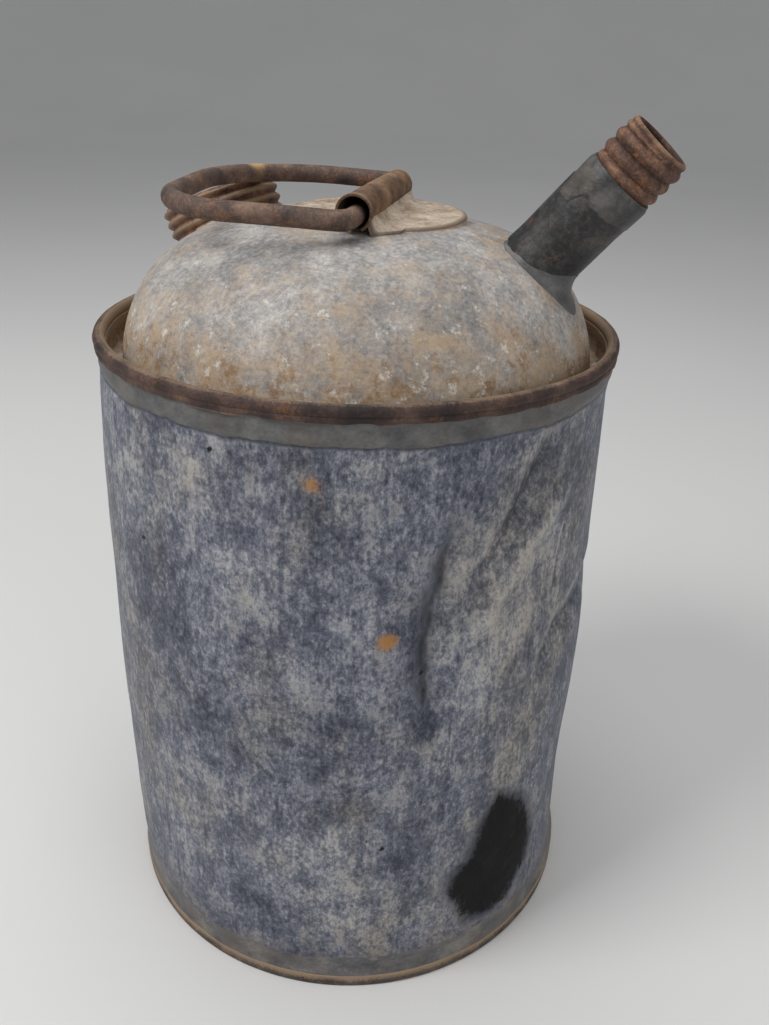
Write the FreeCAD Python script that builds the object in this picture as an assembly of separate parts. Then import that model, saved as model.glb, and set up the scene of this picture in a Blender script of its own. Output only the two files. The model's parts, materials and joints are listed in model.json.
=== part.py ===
"""Galvanised one-gallon fuel can: domed top, leaning filler neck, screw-tipped spout and wire bail.

The can stands on its base at the origin, with Z up and X towards the spout.  All lengths are in
millimetres and all angles in degrees.  Every piece function builds one separate physical piece.
"""
import FreeCAD
import Part

import math
import os

# ---------------------------------------------------------------- driving dimensions
SHEET = 0.8                      # thickness of the galvanised sheet

# Body cylinder, which bellies out slightly between its two ends
CAN_HEIGHT = 203.0               # floor to the top of the rim
BODY_FOOT_RADIUS = 80.0
BODY_BELLY_RADIUS = 80.6
BODY_BELLY_HEIGHT = 85.0
BODY_NECK_RADIUS = 78.0
BODY_FOOT_STRAIGHT = 12.0        # the wall is straight up to this height
BODY_NECK_STRAIGHT = CAN_HEIGHT - 14.0   # and straight again above this one

# Wired rim hoop
RIM_RADIUS = 79.4                # outside of the rolled bead
RIM_WIRE_RADIUS = 1.1
RIM_BEAD_RADIUS = 1.8            # the wire with one thickness of sheet round it
RIM_BEAD_CENTRE = RIM_RADIUS - RIM_BEAD_RADIUS
RIM_BEAD_HEIGHT = CAN_HEIGHT - RIM_BEAD_RADIUS
RIM_CLENCH_FOOT = CAN_HEIGHT - 4.7       # lower edge of the fold outside the body
RIM_CLENCH_THICKNESS = 1.2
RIM_FOLD_ROUNDING = 0.5
RIM_INNER_FOOT = CAN_HEIGHT - 6.0        # lower edge of the fold inside the gutter
WALL_TOP = RIM_BEAD_HEIGHT - RIM_BEAD_RADIUS
RIM_SOLDER_FOOT = CAN_HEIGHT - 10.5      # the solder feathers out to nothing here
RIM_SOLDER_FEATHER = 1.2
RIM_SOLDER_THICKNESS = 0.5

# Bottom pan and its folded foot
PAN_HEIGHT = 6.8                 # top of the recessed floor
PAN_CORNER_ROUNDING = 1.2
FOOT_FOLD_THICKNESS = 1.0
FOOT_FOLD_HEIGHT = 4.6
FOOT_ROUNDING = 0.6
BASE_SOLDER_THICKNESS = 0.9      # at the foot ring; the fillet thins out upwards
BASE_SOLDER_MIDDLE_THICKNESS = 0.35
BASE_SOLDER_MIDDLE_HEIGHT = FOOT_FOLD_HEIGHT + 2.0
BASE_SOLDER_ROUNDING = 1.5

# Soldered lap down the side of the body
SIDE_SEAM_AZIMUTH = 110.0
SIDE_SEAM_ANGLE = 3.6            # width of the soldered lap, as an angle about the axis
SIDE_SEAM_THICKNESS = 0.5

# Domed top: a tight shoulder arc that runs into a wide crown arc
DOME_RADIUS = 71.6
DOME_FOOT = CAN_HEIGHT - 11.5    # floor of the gutter between dome and rim
SHOULDER_RADIUS = 40.0
SHOULDER_SLOPE = 16.0            # slope at which the shoulder becomes the crown
CAP_SEAT_RADIUS = 26.0           # flat on the crown, under the cap plate

# Cap plate, bail lug and bail share one frame: its Y axis is the hinge direction
CAP_YAW = 5.3
CAP_TILT = 1.5
CAP_PLATE_RADIUS = 27.0
CAP_PLATE_THICKNESS = 1.0        # at its middle; underneath, the plate follows the dome
CAP_PLATE_DRAW = 4.0             # depth of the disc before the dome is cut away from it
CAP_PLATE_CENTRE = (4.0, 1.5)
LUG_CENTRE = (6.5, -3.4)
LUG_LENGTH = 52.0
LUG_RADIUS = 4.7
LUG_FOOT_REACH = 11.0            # how far the flat foot runs out from the hinge line
LUG_SOLDER_REACH = 0.6           # past the tube's side
LUG_SOLDER_HEIGHT = 2.2
LUG_SOLDER_LENGTH = LUG_LENGTH - 4.0
BAIL_WIRE_RADIUS = 2.7
BAIL_PLAY = 0.3                  # the wire hangs this far above the bottom of the lug tube
HINGE_DROP = LUG_RADIUS - SHEET - BAIL_WIRE_RADIUS - BAIL_PLAY   # from the tube's centre line down
BAIL_END_GAP = 6.0               # between the two wire ends inside the lug
BAIL_ROOT_RADIUS = 6.5           # bend from the lug into each arm
BAIL_NEAR_ARM_OFFSET = 33.0      # where each arm starts, from the middle of the lug
BAIL_FAR_ARM_OFFSET = 38.5
BAIL_NEAR_CORNER = (-46.0, 49.0)   # corner along the hinge direction, and away from the hinge
BAIL_FAR_CORNER = (26.0, 54.0)
BAIL_NEAR_BEND = 16.5
BAIL_FAR_BEND = 38.0
BAIL_RISE = 3.7                  # the resting bail slopes up this much to lie on the filler neck

# Filler neck
FILLER_AZIMUTH = 160.4
FILLER_OFFSET = 56.5             # from the can's axis, measured on the dome
FILLER_LEAN = 23.3
FILLER_LEAN_AZIMUTH = 169.8
FILLER_RADIUS = 19.4             # over the thread ridges
FILLER_BORE_RADIUS = 17.6
FILLER_HOLE_RADIUS = 18.0        # in the dome, under the foot of the neck's wall
FILLER_HEIGHT = 11.4             # lip above the dome, along the neck
FILLER_THREAD_DEPTH = 1.1
FILLER_THREAD_PITCH = 3.3
FILLER_THREADS = 4
FILLER_SOLDER = 1.3              # thickness of the bead round the neck's foot
FILLER_SOLDER_SPREAD = 3.3       # its thickness where it runs out on the dome
FILLER_SOLDER_TOP = -2.0         # along the neck from where its axis meets the dome
FILLER_SOLDER_BOTTOM = -17.3

# Spout
SPOUT_OFFSET = 53.8
SPOUT_LEAN = 40.5
SPOUT_RADIUS = 10.2
SPOUT_TIP_RADIUS = 8.7           # the tube is drawn in to take the screw ferrule
SPOUT_BORE_RADIUS = SPOUT_TIP_RADIUS - SHEET
SPOUT_HOLE_RADIUS = 9.2          # in the dome, under the foot of the tube's wall
SPOUT_LENGTH = 44.0              # dome to mouth, along the spout
SPOUT_DRAWN_STEP = 1.5           # length of the step down to the tip
FERRULE_LENGTH = 13.6
FERRULE_PLAIN_LENGTH = 0.4       # below its first ridge
FERRULE_LIP_THICKNESS = 1.0
FERRULE_LIP_LENGTH = 1.2
FERRULE_RIDGE_RADIUS = 10.3
FERRULE_THREAD_DEPTH = 0.8
FERRULE_THREAD_PITCH = 3.8
FERRULE_THREADS = 3
FERRULE_LIP_RADIUS = 9.4
COLLAR_LENGTH = 8.0
COLLAR_THICKNESS = 0.6
COLLAR_FEATHER = 1.2             # length over which each end of the collar thins out
SPOUT_SOLDER_REACH = 2.2
SPOUT_SOLDER_HEIGHT = 9.0
SPOUT_SEAM_ANGLE = 26.0          # width of the lap along the top of the spout
SPOUT_SEAM_THICKNESS = 0.5

# Rolled screw thread: share of the pitch along the pipe, and share of the depth, at each corner of a ridge
RIDGE_SECTION = ((0.0, 0.0), (0.25, 1.0), (0.55, 1.0), (0.8, 0.0))
RIDGE_ROUNDING = 0.4

SINK = 30.0                      # how far a pipe is drawn on under the dome before it is trimmed

UP = FreeCAD.Vector(0, 0, 1)
ORIGIN = FreeCAD.Vector(0, 0, 0)


# ---------------------------------------------------------------- shared geometry
def point(radius, height):
    """A point of a half section: distance from the axis, and height."""
    return FreeCAD.Vector(radius, 0, height)


def line(start, end):
    return Part.LineSegment(start, end).toShape()


def arc(start, middle, end):
    return Part.Arc(start, middle, end).toShape()


def revolve(edges, angle=360.0):
    """Turn a closed half section about the Z axis."""
    face = Part.Face(Part.Wire(edges))
    return face.revolve(ORIGIN, UP, angle)


def rounded_path(corners, closed):
    """Edges through corners given as (point, bend radius), with a tangent arc at each rounded corner."""
    edges = []
    last = None
    first = None
    count = len(corners)
    for index, (here, bend) in enumerate(corners):
        if bend == 0 or (not closed and index in (0, count - 1)):
            arrive = leave = here
            bend_edge = None
        else:
            back = (corners[index - 1][0] - here).normalize()
            ahead = (corners[(index + 1) % count][0] - here).normalize()
            half_angle = back.getAngle(ahead) / 2
            reach = bend / math.tan(half_angle)
            arrive = here + back * reach
            leave = here + ahead * reach
            inward = (back + ahead).normalize()
            middle = here + inward * (bend / math.sin(half_angle) - bend)
            bend_edge = arc(arrive, middle, leave)
        if last is not None:
            edges.append(line(last, arrive))
        else:
            first = arrive
        if bend_edge is not None:
            edges.append(bend_edge)
        last = leave
    if closed:
        edges.append(line(last, first))
    return edges


def ring(*corners):
    """A ring about Z from section corners (radius, height, rounding)."""
    path = [(point(radius, height), rounding) for radius, height, rounding in corners]
    return revolve(rounded_path(path, closed=True))


def tilted(lean, azimuth):
    """Rotation that leans the Z axis over by an angle towards an azimuth."""
    turn = FreeCAD.Rotation(UP, azimuth)
    return turn.multiply(FreeCAD.Rotation(FreeCAD.Vector(0, 1, 0), lean))


def placed(shape, placement):
    moved = shape.copy()
    moved.Placement = placement.multiply(moved.Placement)
    return moved


# ---------------------------------------------------------------- the body
def body_side(offset):
    """The bellied part of the wall, shifted outwards by an offset."""
    return arc(
        point(BODY_FOOT_RADIUS + offset, BODY_FOOT_STRAIGHT),
        point(BODY_BELLY_RADIUS + offset, BODY_BELLY_HEIGHT),
        point(BODY_NECK_RADIUS + offset, BODY_NECK_STRAIGHT),
    )


def body_shell():
    """Rolled sheet cylinder, open at both ends."""
    outer_foot = point(BODY_FOOT_RADIUS, SHEET)
    inner_foot = point(BODY_FOOT_RADIUS - SHEET, SHEET)
    outer_top = point(BODY_NECK_RADIUS, WALL_TOP)
    inner_top = point(BODY_NECK_RADIUS - SHEET, WALL_TOP)
    outside = body_side(0)
    inside = body_side(-SHEET)
    edges = [
        line(outer_foot, outside.firstVertex().Point),
        outside,
        line(outside.lastVertex().Point, outer_top),
        line(outer_top, inner_top),
        line(inner_top, inside.lastVertex().Point),
        inside,
        line(inside.firstVertex().Point, inner_foot),
        line(inner_foot, outer_foot),
    ]
    return revolve(edges)


def side_seam_solder():
    """Solder drawn down the lap where the two edges of the rolled sheet meet."""
    outside = body_side(SIDE_SEAM_THICKNESS)
    inside = body_side(0)
    edges = [
        outside,
        line(outside.lastVertex().Point, inside.lastVertex().Point),
        inside,
        line(inside.firstVertex().Point, outside.firstVertex().Point),
    ]
    seam = revolve(edges, SIDE_SEAM_ANGLE)
    turn = FreeCAD.Rotation(UP, SIDE_SEAM_AZIMUTH - SIDE_SEAM_ANGLE / 2)
    return placed(seam, FreeCAD.Placement(ORIGIN, turn))


def rim_wire():
    """Stiffening wire inside the rolled rim."""
    return Part.makeTorus(RIM_BEAD_CENTRE, RIM_WIRE_RADIUS, FreeCAD.Vector(0, 0, RIM_BEAD_HEIGHT))


def rim_hoop():
    """Sheet hoop rolled round the rim wire and clenched over the body wall and the dome flange."""
    bead = Part.makeTorus(RIM_BEAD_CENTRE, RIM_BEAD_RADIUS, FreeCAD.Vector(0, 0, RIM_BEAD_HEIGHT))
    fold_top = WALL_TOP + SHEET
    outer_fold = ring(
        (BODY_NECK_RADIUS, RIM_CLENCH_FOOT, 0),
        (BODY_NECK_RADIUS + RIM_CLENCH_THICKNESS, RIM_CLENCH_FOOT, RIM_FOLD_ROUNDING),
        (BODY_NECK_RADIUS + RIM_CLENCH_THICKNESS, fold_top, RIM_FOLD_ROUNDING),
        (BODY_NECK_RADIUS, fold_top, 0),
    )
    inner_face = BODY_NECK_RADIUS - 2 * SHEET
    inner_fold = ring(
        (inner_face - SHEET, RIM_INNER_FOOT, RIM_FOLD_ROUNDING),
        (inner_face, RIM_INNER_FOOT, 0),
        (inner_face, fold_top, 0),
        (inner_face - SHEET, fold_top, 0),
    )
    return bead.fuse([outer_fold, inner_fold]).cut(rim_wire()).removeSplitter()


def rim_solder_band():
    """Smooth solder wiped round the body just below the rim hoop."""
    face = BODY_NECK_RADIUS + RIM_SOLDER_THICKNESS
    return ring(
        (BODY_NECK_RADIUS, RIM_SOLDER_FOOT, 0),
        (face, RIM_SOLDER_FOOT + RIM_SOLDER_FEATHER, RIM_SOLDER_THICKNESS),
        (face, RIM_CLENCH_FOOT, 0),
        (BODY_NECK_RADIUS, RIM_CLENCH_FOOT, 0),
    )


def bottom_pan():
    """Recessed floor whose flange runs down inside the wall, under it, and up outside it as a folded foot."""
    outer = BODY_FOOT_RADIUS + FOOT_FOLD_THICKNESS
    inner = BODY_FOOT_RADIUS - SHEET
    return ring(
        (0, PAN_HEIGHT, 0),
        (inner, PAN_HEIGHT, PAN_CORNER_ROUNDING),
        (inner, SHEET, 0),
        (BODY_FOOT_RADIUS, SHEET, 0),
        (BODY_FOOT_RADIUS, FOOT_FOLD_HEIGHT, 0),
        (outer, FOOT_FOLD_HEIGHT, FOOT_ROUNDING / 2),
        (outer, 0, FOOT_ROUNDING),
        (inner - SHEET, 0, FOOT_ROUNDING),
        (inner - SHEET, PAN_HEIGHT - SHEET, PAN_CORNER_ROUNDING - SHEET),
        (0, PAN_HEIGHT - SHEET, 0),
    )


def base_solder_band():
    """Hollow fillet of solder above the folded foot."""
    return ring(
        (BODY_FOOT_RADIUS, FOOT_FOLD_HEIGHT, 0),
        (BODY_FOOT_RADIUS + BASE_SOLDER_THICKNESS, FOOT_FOLD_HEIGHT, 0),
        (BODY_FOOT_RADIUS + BASE_SOLDER_MIDDLE_THICKNESS, BASE_SOLDER_MIDDLE_HEIGHT, BASE_SOLDER_ROUNDING),
        (BODY_FOOT_RADIUS, BODY_FOOT_STRAIGHT, 0),
    )


# ---------------------------------------------------------------- the domed top
def crown_arc_radius():
    return shoulder_end_radius() / math.sin(math.radians(SHOULDER_SLOPE))


def shoulder_end_radius():
    """Distance from the axis at which the shoulder arc runs into the crown arc."""
    return DOME_RADIUS - SHOULDER_RADIUS + SHOULDER_RADIUS * math.sin(math.radians(SHOULDER_SLOPE))


def crown_arc_centre():
    slope = math.radians(SHOULDER_SLOPE)
    return DOME_FOOT + (SHOULDER_RADIUS - crown_arc_radius()) * math.cos(slope)


def crown_height(radius, inset=0.0):
    """Height of the crown arc at a distance from the axis."""
    return crown_arc_centre() + math.sqrt((crown_arc_radius() - inset) ** 2 - radius ** 2)


def dome_height(radius):
    """Height of the dome's outside at a distance from the axis."""
    if radius < shoulder_end_radius():
        return crown_height(radius)
    across = radius - (DOME_RADIUS - SHOULDER_RADIUS)
    return DOME_FOOT + math.sqrt(SHOULDER_RADIUS ** 2 - across ** 2)


def shoulder_point(slope_angle, inset):
    """Point of the shoulder arc where the dome slopes by an angle; 90 is the foot."""
    slope = math.radians(slope_angle)
    reach = SHOULDER_RADIUS - inset
    return point(DOME_RADIUS - SHOULDER_RADIUS + reach * math.sin(slope), DOME_FOOT + reach * math.cos(slope))


def dome_section(inset):
    """Foot of the dome to the axis: shoulder arc, crown arc, and the flat under the cap plate."""
    foot = shoulder_point(90.0, inset)
    bend = shoulder_point((90.0 + SHOULDER_SLOPE) / 2, inset)
    join = shoulder_point(SHOULDER_SLOPE, inset)
    seat = point(CAP_SEAT_RADIUS, crown_height(CAP_SEAT_RADIUS, inset))
    halfway = (join.x + seat.x) / 2
    crown_middle = point(halfway, crown_height(halfway, inset))
    return [arc(foot, bend, join), arc(join, crown_middle, seat), line(seat, point(0, seat.z))]


def dome_block():
    """Everything under the outside of the dome, used to trim what is soldered on to it."""
    section = dome_section(0)
    foot = section[0].firstVertex().Point
    bottom = DOME_FOOT - 2 * SINK
    edges = section + [
        line(section[-1].lastVertex().Point, point(0, bottom)),
        line(point(0, bottom), point(foot.x, bottom)),
        line(point(foot.x, bottom), foot),
    ]
    return revolve(edges)


def sunk_cylinder(radius):
    """Cylinder about Z that passes well through the dome both ways."""
    return Part.makeCylinder(radius, 2 * SINK, FreeCAD.Vector(0, 0, -SINK))


def dome_top():
    """Pressed top: a dome, a gutter round it, and a flange up the inside of the wall, with two holes."""
    outside = dome_section(0)
    inside = dome_section(SHEET)
    flange_outer = BODY_NECK_RADIUS - SHEET
    flange_inner = flange_outer - SHEET
    outside_foot = outside[0].firstVertex().Point
    inside_foot = inside[0].firstVertex().Point
    gutter_under = DOME_FOOT - SHEET
    axis_line = line(outside[-1].lastVertex().Point, inside[-1].lastVertex().Point)
    edges = outside + [axis_line] + inside[::-1] + [
        line(inside_foot, point(inside_foot.x, gutter_under)),
        line(point(inside_foot.x, gutter_under), point(flange_outer, gutter_under)),
        line(point(flange_outer, gutter_under), point(flange_outer, WALL_TOP)),
        line(point(flange_outer, WALL_TOP), point(flange_inner, WALL_TOP)),
        line(point(flange_inner, WALL_TOP), point(flange_inner, DOME_FOOT)),
        line(point(flange_inner, DOME_FOOT), outside_foot),
    ]
    top = revolve(edges)
    filler_hole = placed(sunk_cylinder(FILLER_HOLE_RADIUS), FILLER_FRAME)
    spout_hole = placed(sunk_cylinder(SPOUT_HOLE_RADIUS), SPOUT_FRAME)
    return top.cut([filler_hole, spout_hole])


# ---------------------------------------------------------------- frames of the fittings, Z along each axis
def on_dome(offset, azimuth, lean, lean_azimuth):
    """Placement of a fitting whose axis starts on the dome."""
    angle = math.radians(azimuth)
    base = FreeCAD.Vector(offset * math.cos(angle), offset * math.sin(angle), dome_height(offset))
    return FreeCAD.Placement(base, tilted(lean, lean_azimuth))


def cap_frame(centre, height):
    """Placement on the cap seat, with Y along the hinge."""
    turn = FreeCAD.Rotation(UP, CAP_YAW).multiply(FreeCAD.Rotation(FreeCAD.Vector(1, 0, 0), CAP_TILT))
    seat_height = crown_height(CAP_SEAT_RADIUS)
    return FreeCAD.Placement(FreeCAD.Vector(centre[0], centre[1], seat_height + height), turn)


FILLER_FRAME = on_dome(FILLER_OFFSET, FILLER_AZIMUTH, FILLER_LEAN, FILLER_LEAN_AZIMUTH)
SPOUT_FRAME = on_dome(SPOUT_OFFSET, 0, SPOUT_LEAN, 0)
PLATE_FRAME = cap_frame(CAP_PLATE_CENTRE, 0)
LUG_FRAME = cap_frame(LUG_CENTRE, CAP_PLATE_THICKNESS + LUG_RADIUS)


# ---------------------------------------------------------------- cap plate, lug and bail
def cap_plate():
    """Round reinforcing plate soldered on the crown, under the bail lug."""
    under = FreeCAD.Vector(0, 0, CAP_PLATE_THICKNESS - CAP_PLATE_DRAW)
    disc = Part.makeCylinder(CAP_PLATE_RADIUS, CAP_PLATE_DRAW, under)
    upper_edge = [edge for edge in disc.Edges if edge.BoundBox.ZMin > 0]
    disc = disc.makeFillet(CAP_PLATE_THICKNESS / 2, upper_edge)
    return placed(disc, PLATE_FRAME).cut(dome_block())


def lug_bar(left, right, low, high):
    """A bar as long as the lug, given by its section in the lug frame."""
    return Part.makeBox(right - left, LUG_LENGTH, high - low, FreeCAD.Vector(left, -LUG_LENGTH / 2, low))


def lug_cylinder(radius, length=LUG_LENGTH):
    return Part.makeCylinder(radius, length, FreeCAD.Vector(0, -length / 2, 0), FreeCAD.Vector(0, 1, 0))


def handle_lug():
    """Strap rolled into a tube for the bail, with one leg brought down and turned out as a foot."""
    inner = LUG_RADIUS - SHEET
    leg = lug_bar(inner, LUG_RADIUS, -LUG_RADIUS, 0)
    foot = lug_bar(inner, LUG_FOOT_REACH, -LUG_RADIUS, -inner)
    strap = lug_cylinder(LUG_RADIUS).fuse([leg, foot]).cut(lug_cylinder(inner, 2 * LUG_LENGTH))
    return placed(strap.removeSplitter(), LUG_FRAME).cut(cap_plate())


def lug_solder():
    """Solder run into the corner between the tube and the plate, behind the tube."""
    seat = -LUG_RADIUS
    reach = LUG_RADIUS + LUG_SOLDER_REACH
    start = -LUG_SOLDER_LENGTH / 2
    corners = [
        FreeCAD.Vector(0, start, seat - CAP_PLATE_THICKNESS),
        FreeCAD.Vector(0, start, 0),
        FreeCAD.Vector(-LUG_RADIUS, start, seat + LUG_SOLDER_HEIGHT),
        FreeCAD.Vector(-reach, start, seat),
        FreeCAD.Vector(-reach, start, seat - CAP_PLATE_THICKNESS),
    ]
    section = Part.Face(Part.makePolygon(corners + corners[:1]))
    bead = section.extrude(FreeCAD.Vector(0, LUG_SOLDER_LENGTH, 0))
    bead = bead.cut(lug_cylinder(LUG_RADIUS))
    bead = placed(bead, LUG_FRAME).cut([cap_plate(), dome_block()])
    return max(bead.Solids, key=lambda solid: solid.Volume)


def bail_handle():
    """Wire bail: both ends sit in the lug tube, and the loop lies over the filler neck at rest."""
    rise = math.radians(BAIL_RISE)

    def loop_point(along, away):
        return FreeCAD.Vector(-away * math.cos(rise), along, away * math.sin(rise) - HINGE_DROP)

    corners = [
        (loop_point(-BAIL_END_GAP / 2, 0), 0),
        (loop_point(-BAIL_NEAR_ARM_OFFSET, 0), BAIL_ROOT_RADIUS),
        (loop_point(*BAIL_NEAR_CORNER), BAIL_NEAR_BEND),
        (loop_point(*BAIL_FAR_CORNER), BAIL_FAR_BEND),
        (loop_point(BAIL_FAR_ARM_OFFSET, 0), BAIL_ROOT_RADIUS),
        (loop_point(BAIL_END_GAP / 2, 0), 0),
    ]
    path = Part.Wire(rounded_path(corners, closed=False))
    section = Part.Wire(Part.makeCircle(BAIL_WIRE_RADIUS, corners[0][0], FreeCAD.Vector(0, 1, 0)))
    wire = path.makePipeShell([section], True, True)
    return placed(wire, LUG_FRAME)


# ---------------------------------------------------------------- filler neck and spout
def ridge_corners(ridge, depth, pitch, start, count):
    """Section corners of the rounded rings pressed out of a pipe, each like one turn of a coarse thread."""
    corners = []
    for turn in range(count):
        for along, out in RIDGE_SECTION:
            height = start + (turn + along) * pitch
            corners.append((ridge - depth + out * depth, height, RIDGE_ROUNDING))
    return corners


def filler_neck():
    """Short screw neck, open at its lip, soldered over the filling hole."""
    start = FILLER_HEIGHT - FILLER_THREADS * FILLER_THREAD_PITCH
    valley = FILLER_RADIUS - FILLER_THREAD_DEPTH
    pitch = FILLER_THREAD_PITCH
    ridges = ridge_corners(FILLER_RADIUS, FILLER_THREAD_DEPTH, pitch, start, FILLER_THREADS)
    neck = ring(
        (FILLER_BORE_RADIUS, -SINK, 0),
        (valley, -SINK, 0),
        *ridges,
        (valley, FILLER_HEIGHT, 0),
        (FILLER_BORE_RADIUS, FILLER_HEIGHT, 0),
    )
    return placed(neck, FILLER_FRAME).cut(dome_block())


def solder_cone(radius, reach, height):
    """Cone of solder that widens downwards round a pipe, hollow for the pipe itself."""
    foot_radius = radius + reach * (1 + SINK / height)
    cone = Part.makeCone(foot_radius, radius, SINK + height, FreeCAD.Vector(0, 0, -SINK))
    return cone.cut(sunk_cylinder(radius))


def filler_neck_solder():
    """Bead of solder between the filler neck and the dome."""
    valley = FILLER_RADIUS - FILLER_THREAD_DEPTH
    bead = ring(
        (valley, FILLER_SOLDER_BOTTOM, 0),
        (valley + FILLER_SOLDER_SPREAD, FILLER_SOLDER_BOTTOM, 0),
        (valley + FILLER_SOLDER, FILLER_SOLDER_TOP - FILLER_SOLDER, FILLER_SOLDER / 2),
        (valley, FILLER_SOLDER_TOP, 0),
    )
    return placed(bead, FILLER_FRAME).cut(dome_block())


def spout_tube():
    """Straight soldered tube, drawn in at its end to take the screw ferrule."""
    shoulder = SPOUT_LENGTH - FERRULE_LENGTH
    tube = ring(
        (SPOUT_BORE_RADIUS, -SINK, 0),
        (SPOUT_RADIUS, -SINK, 0),
        (SPOUT_RADIUS, shoulder - SPOUT_DRAWN_STEP, 0),
        (SPOUT_TIP_RADIUS, shoulder, 0),
        (SPOUT_TIP_RADIUS, SPOUT_LENGTH - FERRULE_LIP_THICKNESS, 0),
        (SPOUT_BORE_RADIUS, SPOUT_LENGTH - FERRULE_LIP_THICKNESS, 0),
    )
    return placed(tube, SPOUT_FRAME).cut(dome_block())


def spout_base_solder():
    """Skirt of solder where the spout meets the dome."""
    skirt = solder_cone(SPOUT_RADIUS, SPOUT_SOLDER_REACH, SPOUT_SOLDER_HEIGHT)
    return placed(skirt, SPOUT_FRAME).cut(dome_block())


def spout_seam_solder():
    """Raised lap along the top of the spout tube."""
    end = SPOUT_LENGTH - FERRULE_LENGTH - COLLAR_LENGTH
    face = SPOUT_RADIUS + SPOUT_SEAM_THICKNESS
    corners = [(SPOUT_RADIUS, -SINK), (face, -SINK), (face, end), (SPOUT_RADIUS, end)]
    path = [(point(radius, height), 0) for radius, height in corners]
    lap = revolve(rounded_path(path, closed=True), SPOUT_SEAM_ANGLE)
    turn = FreeCAD.Placement(ORIGIN, FreeCAD.Rotation(UP, 180 - SPOUT_SEAM_ANGLE / 2))
    lap = placed(placed(lap, turn), SPOUT_FRAME)
    return lap.cut([dome_block(), spout_base_solder()])


def spout_collar():
    """Solder sleeve wiped over the joint between the tube and the ferrule."""
    shoulder = SPOUT_LENGTH - FERRULE_LENGTH
    face = SPOUT_RADIUS + COLLAR_THICKNESS
    sleeve = ring(
        (SPOUT_RADIUS, shoulder - COLLAR_LENGTH, 0),
        (face, shoulder - COLLAR_LENGTH + COLLAR_FEATHER, COLLAR_THICKNESS),
        (face, shoulder - COLLAR_FEATHER, COLLAR_THICKNESS),
        (SPOUT_TIP_RADIUS + SHEET, shoulder, 0),
        (SPOUT_TIP_RADIUS, shoulder, 0),
        (SPOUT_RADIUS, shoulder - SPOUT_DRAWN_STEP, 0),
    )
    return placed(sleeve, SPOUT_FRAME).cut(spout_tube())


def spout_ferrule():
    """Screw-threaded sleeve soldered over the drawn-in end of the spout, with a turned lip."""
    start = SPOUT_LENGTH - FERRULE_LENGTH
    pitch = FERRULE_THREAD_PITCH
    ridges_start = start + FERRULE_PLAIN_LENGTH
    ridges_end = ridges_start + FERRULE_THREADS * pitch
    valley = FERRULE_RIDGE_RADIUS - FERRULE_THREAD_DEPTH
    ridges = ridge_corners(FERRULE_RIDGE_RADIUS, FERRULE_THREAD_DEPTH, pitch, ridges_start, FERRULE_THREADS)
    lip_foot = SPOUT_LENGTH - FERRULE_LIP_THICKNESS
    sleeve = ring(
        (SPOUT_TIP_RADIUS, start, 0),
        (valley, start, 0),
        *ridges,
        (valley, ridges_end, 0),
        (FERRULE_LIP_RADIUS, SPOUT_LENGTH - FERRULE_LIP_LENGTH, 0),
        (FERRULE_LIP_RADIUS, SPOUT_LENGTH, RIDGE_ROUNDING),
        (SPOUT_BORE_RADIUS, SPOUT_LENGTH, RIDGE_ROUNDING),
        (SPOUT_BORE_RADIUS, lip_foot, 0),
        (SPOUT_TIP_RADIUS, lip_foot, 0),
    )
    return placed(sleeve, SPOUT_FRAME)


# ---------------------------------------------------------------- one STEP file per piece
PIECES = [
    body_shell, side_seam_solder, rim_hoop, rim_wire, rim_solder_band, bottom_pan, base_solder_band,
    dome_top, cap_plate, handle_lug, lug_solder, bail_handle, filler_neck, filler_neck_solder,
    spout_tube, spout_base_solder, spout_seam_solder, spout_collar, spout_ferrule,
]

os.makedirs("parts", exist_ok=True)
for piece in PIECES:
    solid = piece()
    if len(solid.Solids) == 1:
        solid = solid.Solids[0]
    solid.exportStep(f"parts/{piece.__name__}.step")
    print(piece.__name__, solid.ShapeType, len(solid.Solids), round(solid.Volume), solid.isValid())
for label, frame, local_point, local_axis in (
    ("bail hinge", LUG_FRAME, FreeCAD.Vector(0, 0, -HINGE_DROP), FreeCAD.Vector(0, 1, 0)),
    ("filler lip", FILLER_FRAME, FreeCAD.Vector(0, 0, FILLER_HEIGHT), UP),
    ("spout mouth", SPOUT_FRAME, FreeCAD.Vector(0, 0, SPOUT_LENGTH), UP),
):
    print(label, frame.multVec(local_point), frame.Rotation.multVec(local_axis))
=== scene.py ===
"""Looks of the galvanised fuel can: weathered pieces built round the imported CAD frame.

Shapes are worked out in millimetres and become metres when a mesh is made.  Z is up, X points towards the
spout, and the can stands on the origin.  A grid's rows run along a piece and its columns run round it.
"""

import json
import math
import random

import bmesh
import bpy
import numpy as np
from mathutils import Matrix, Vector, noise


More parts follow.
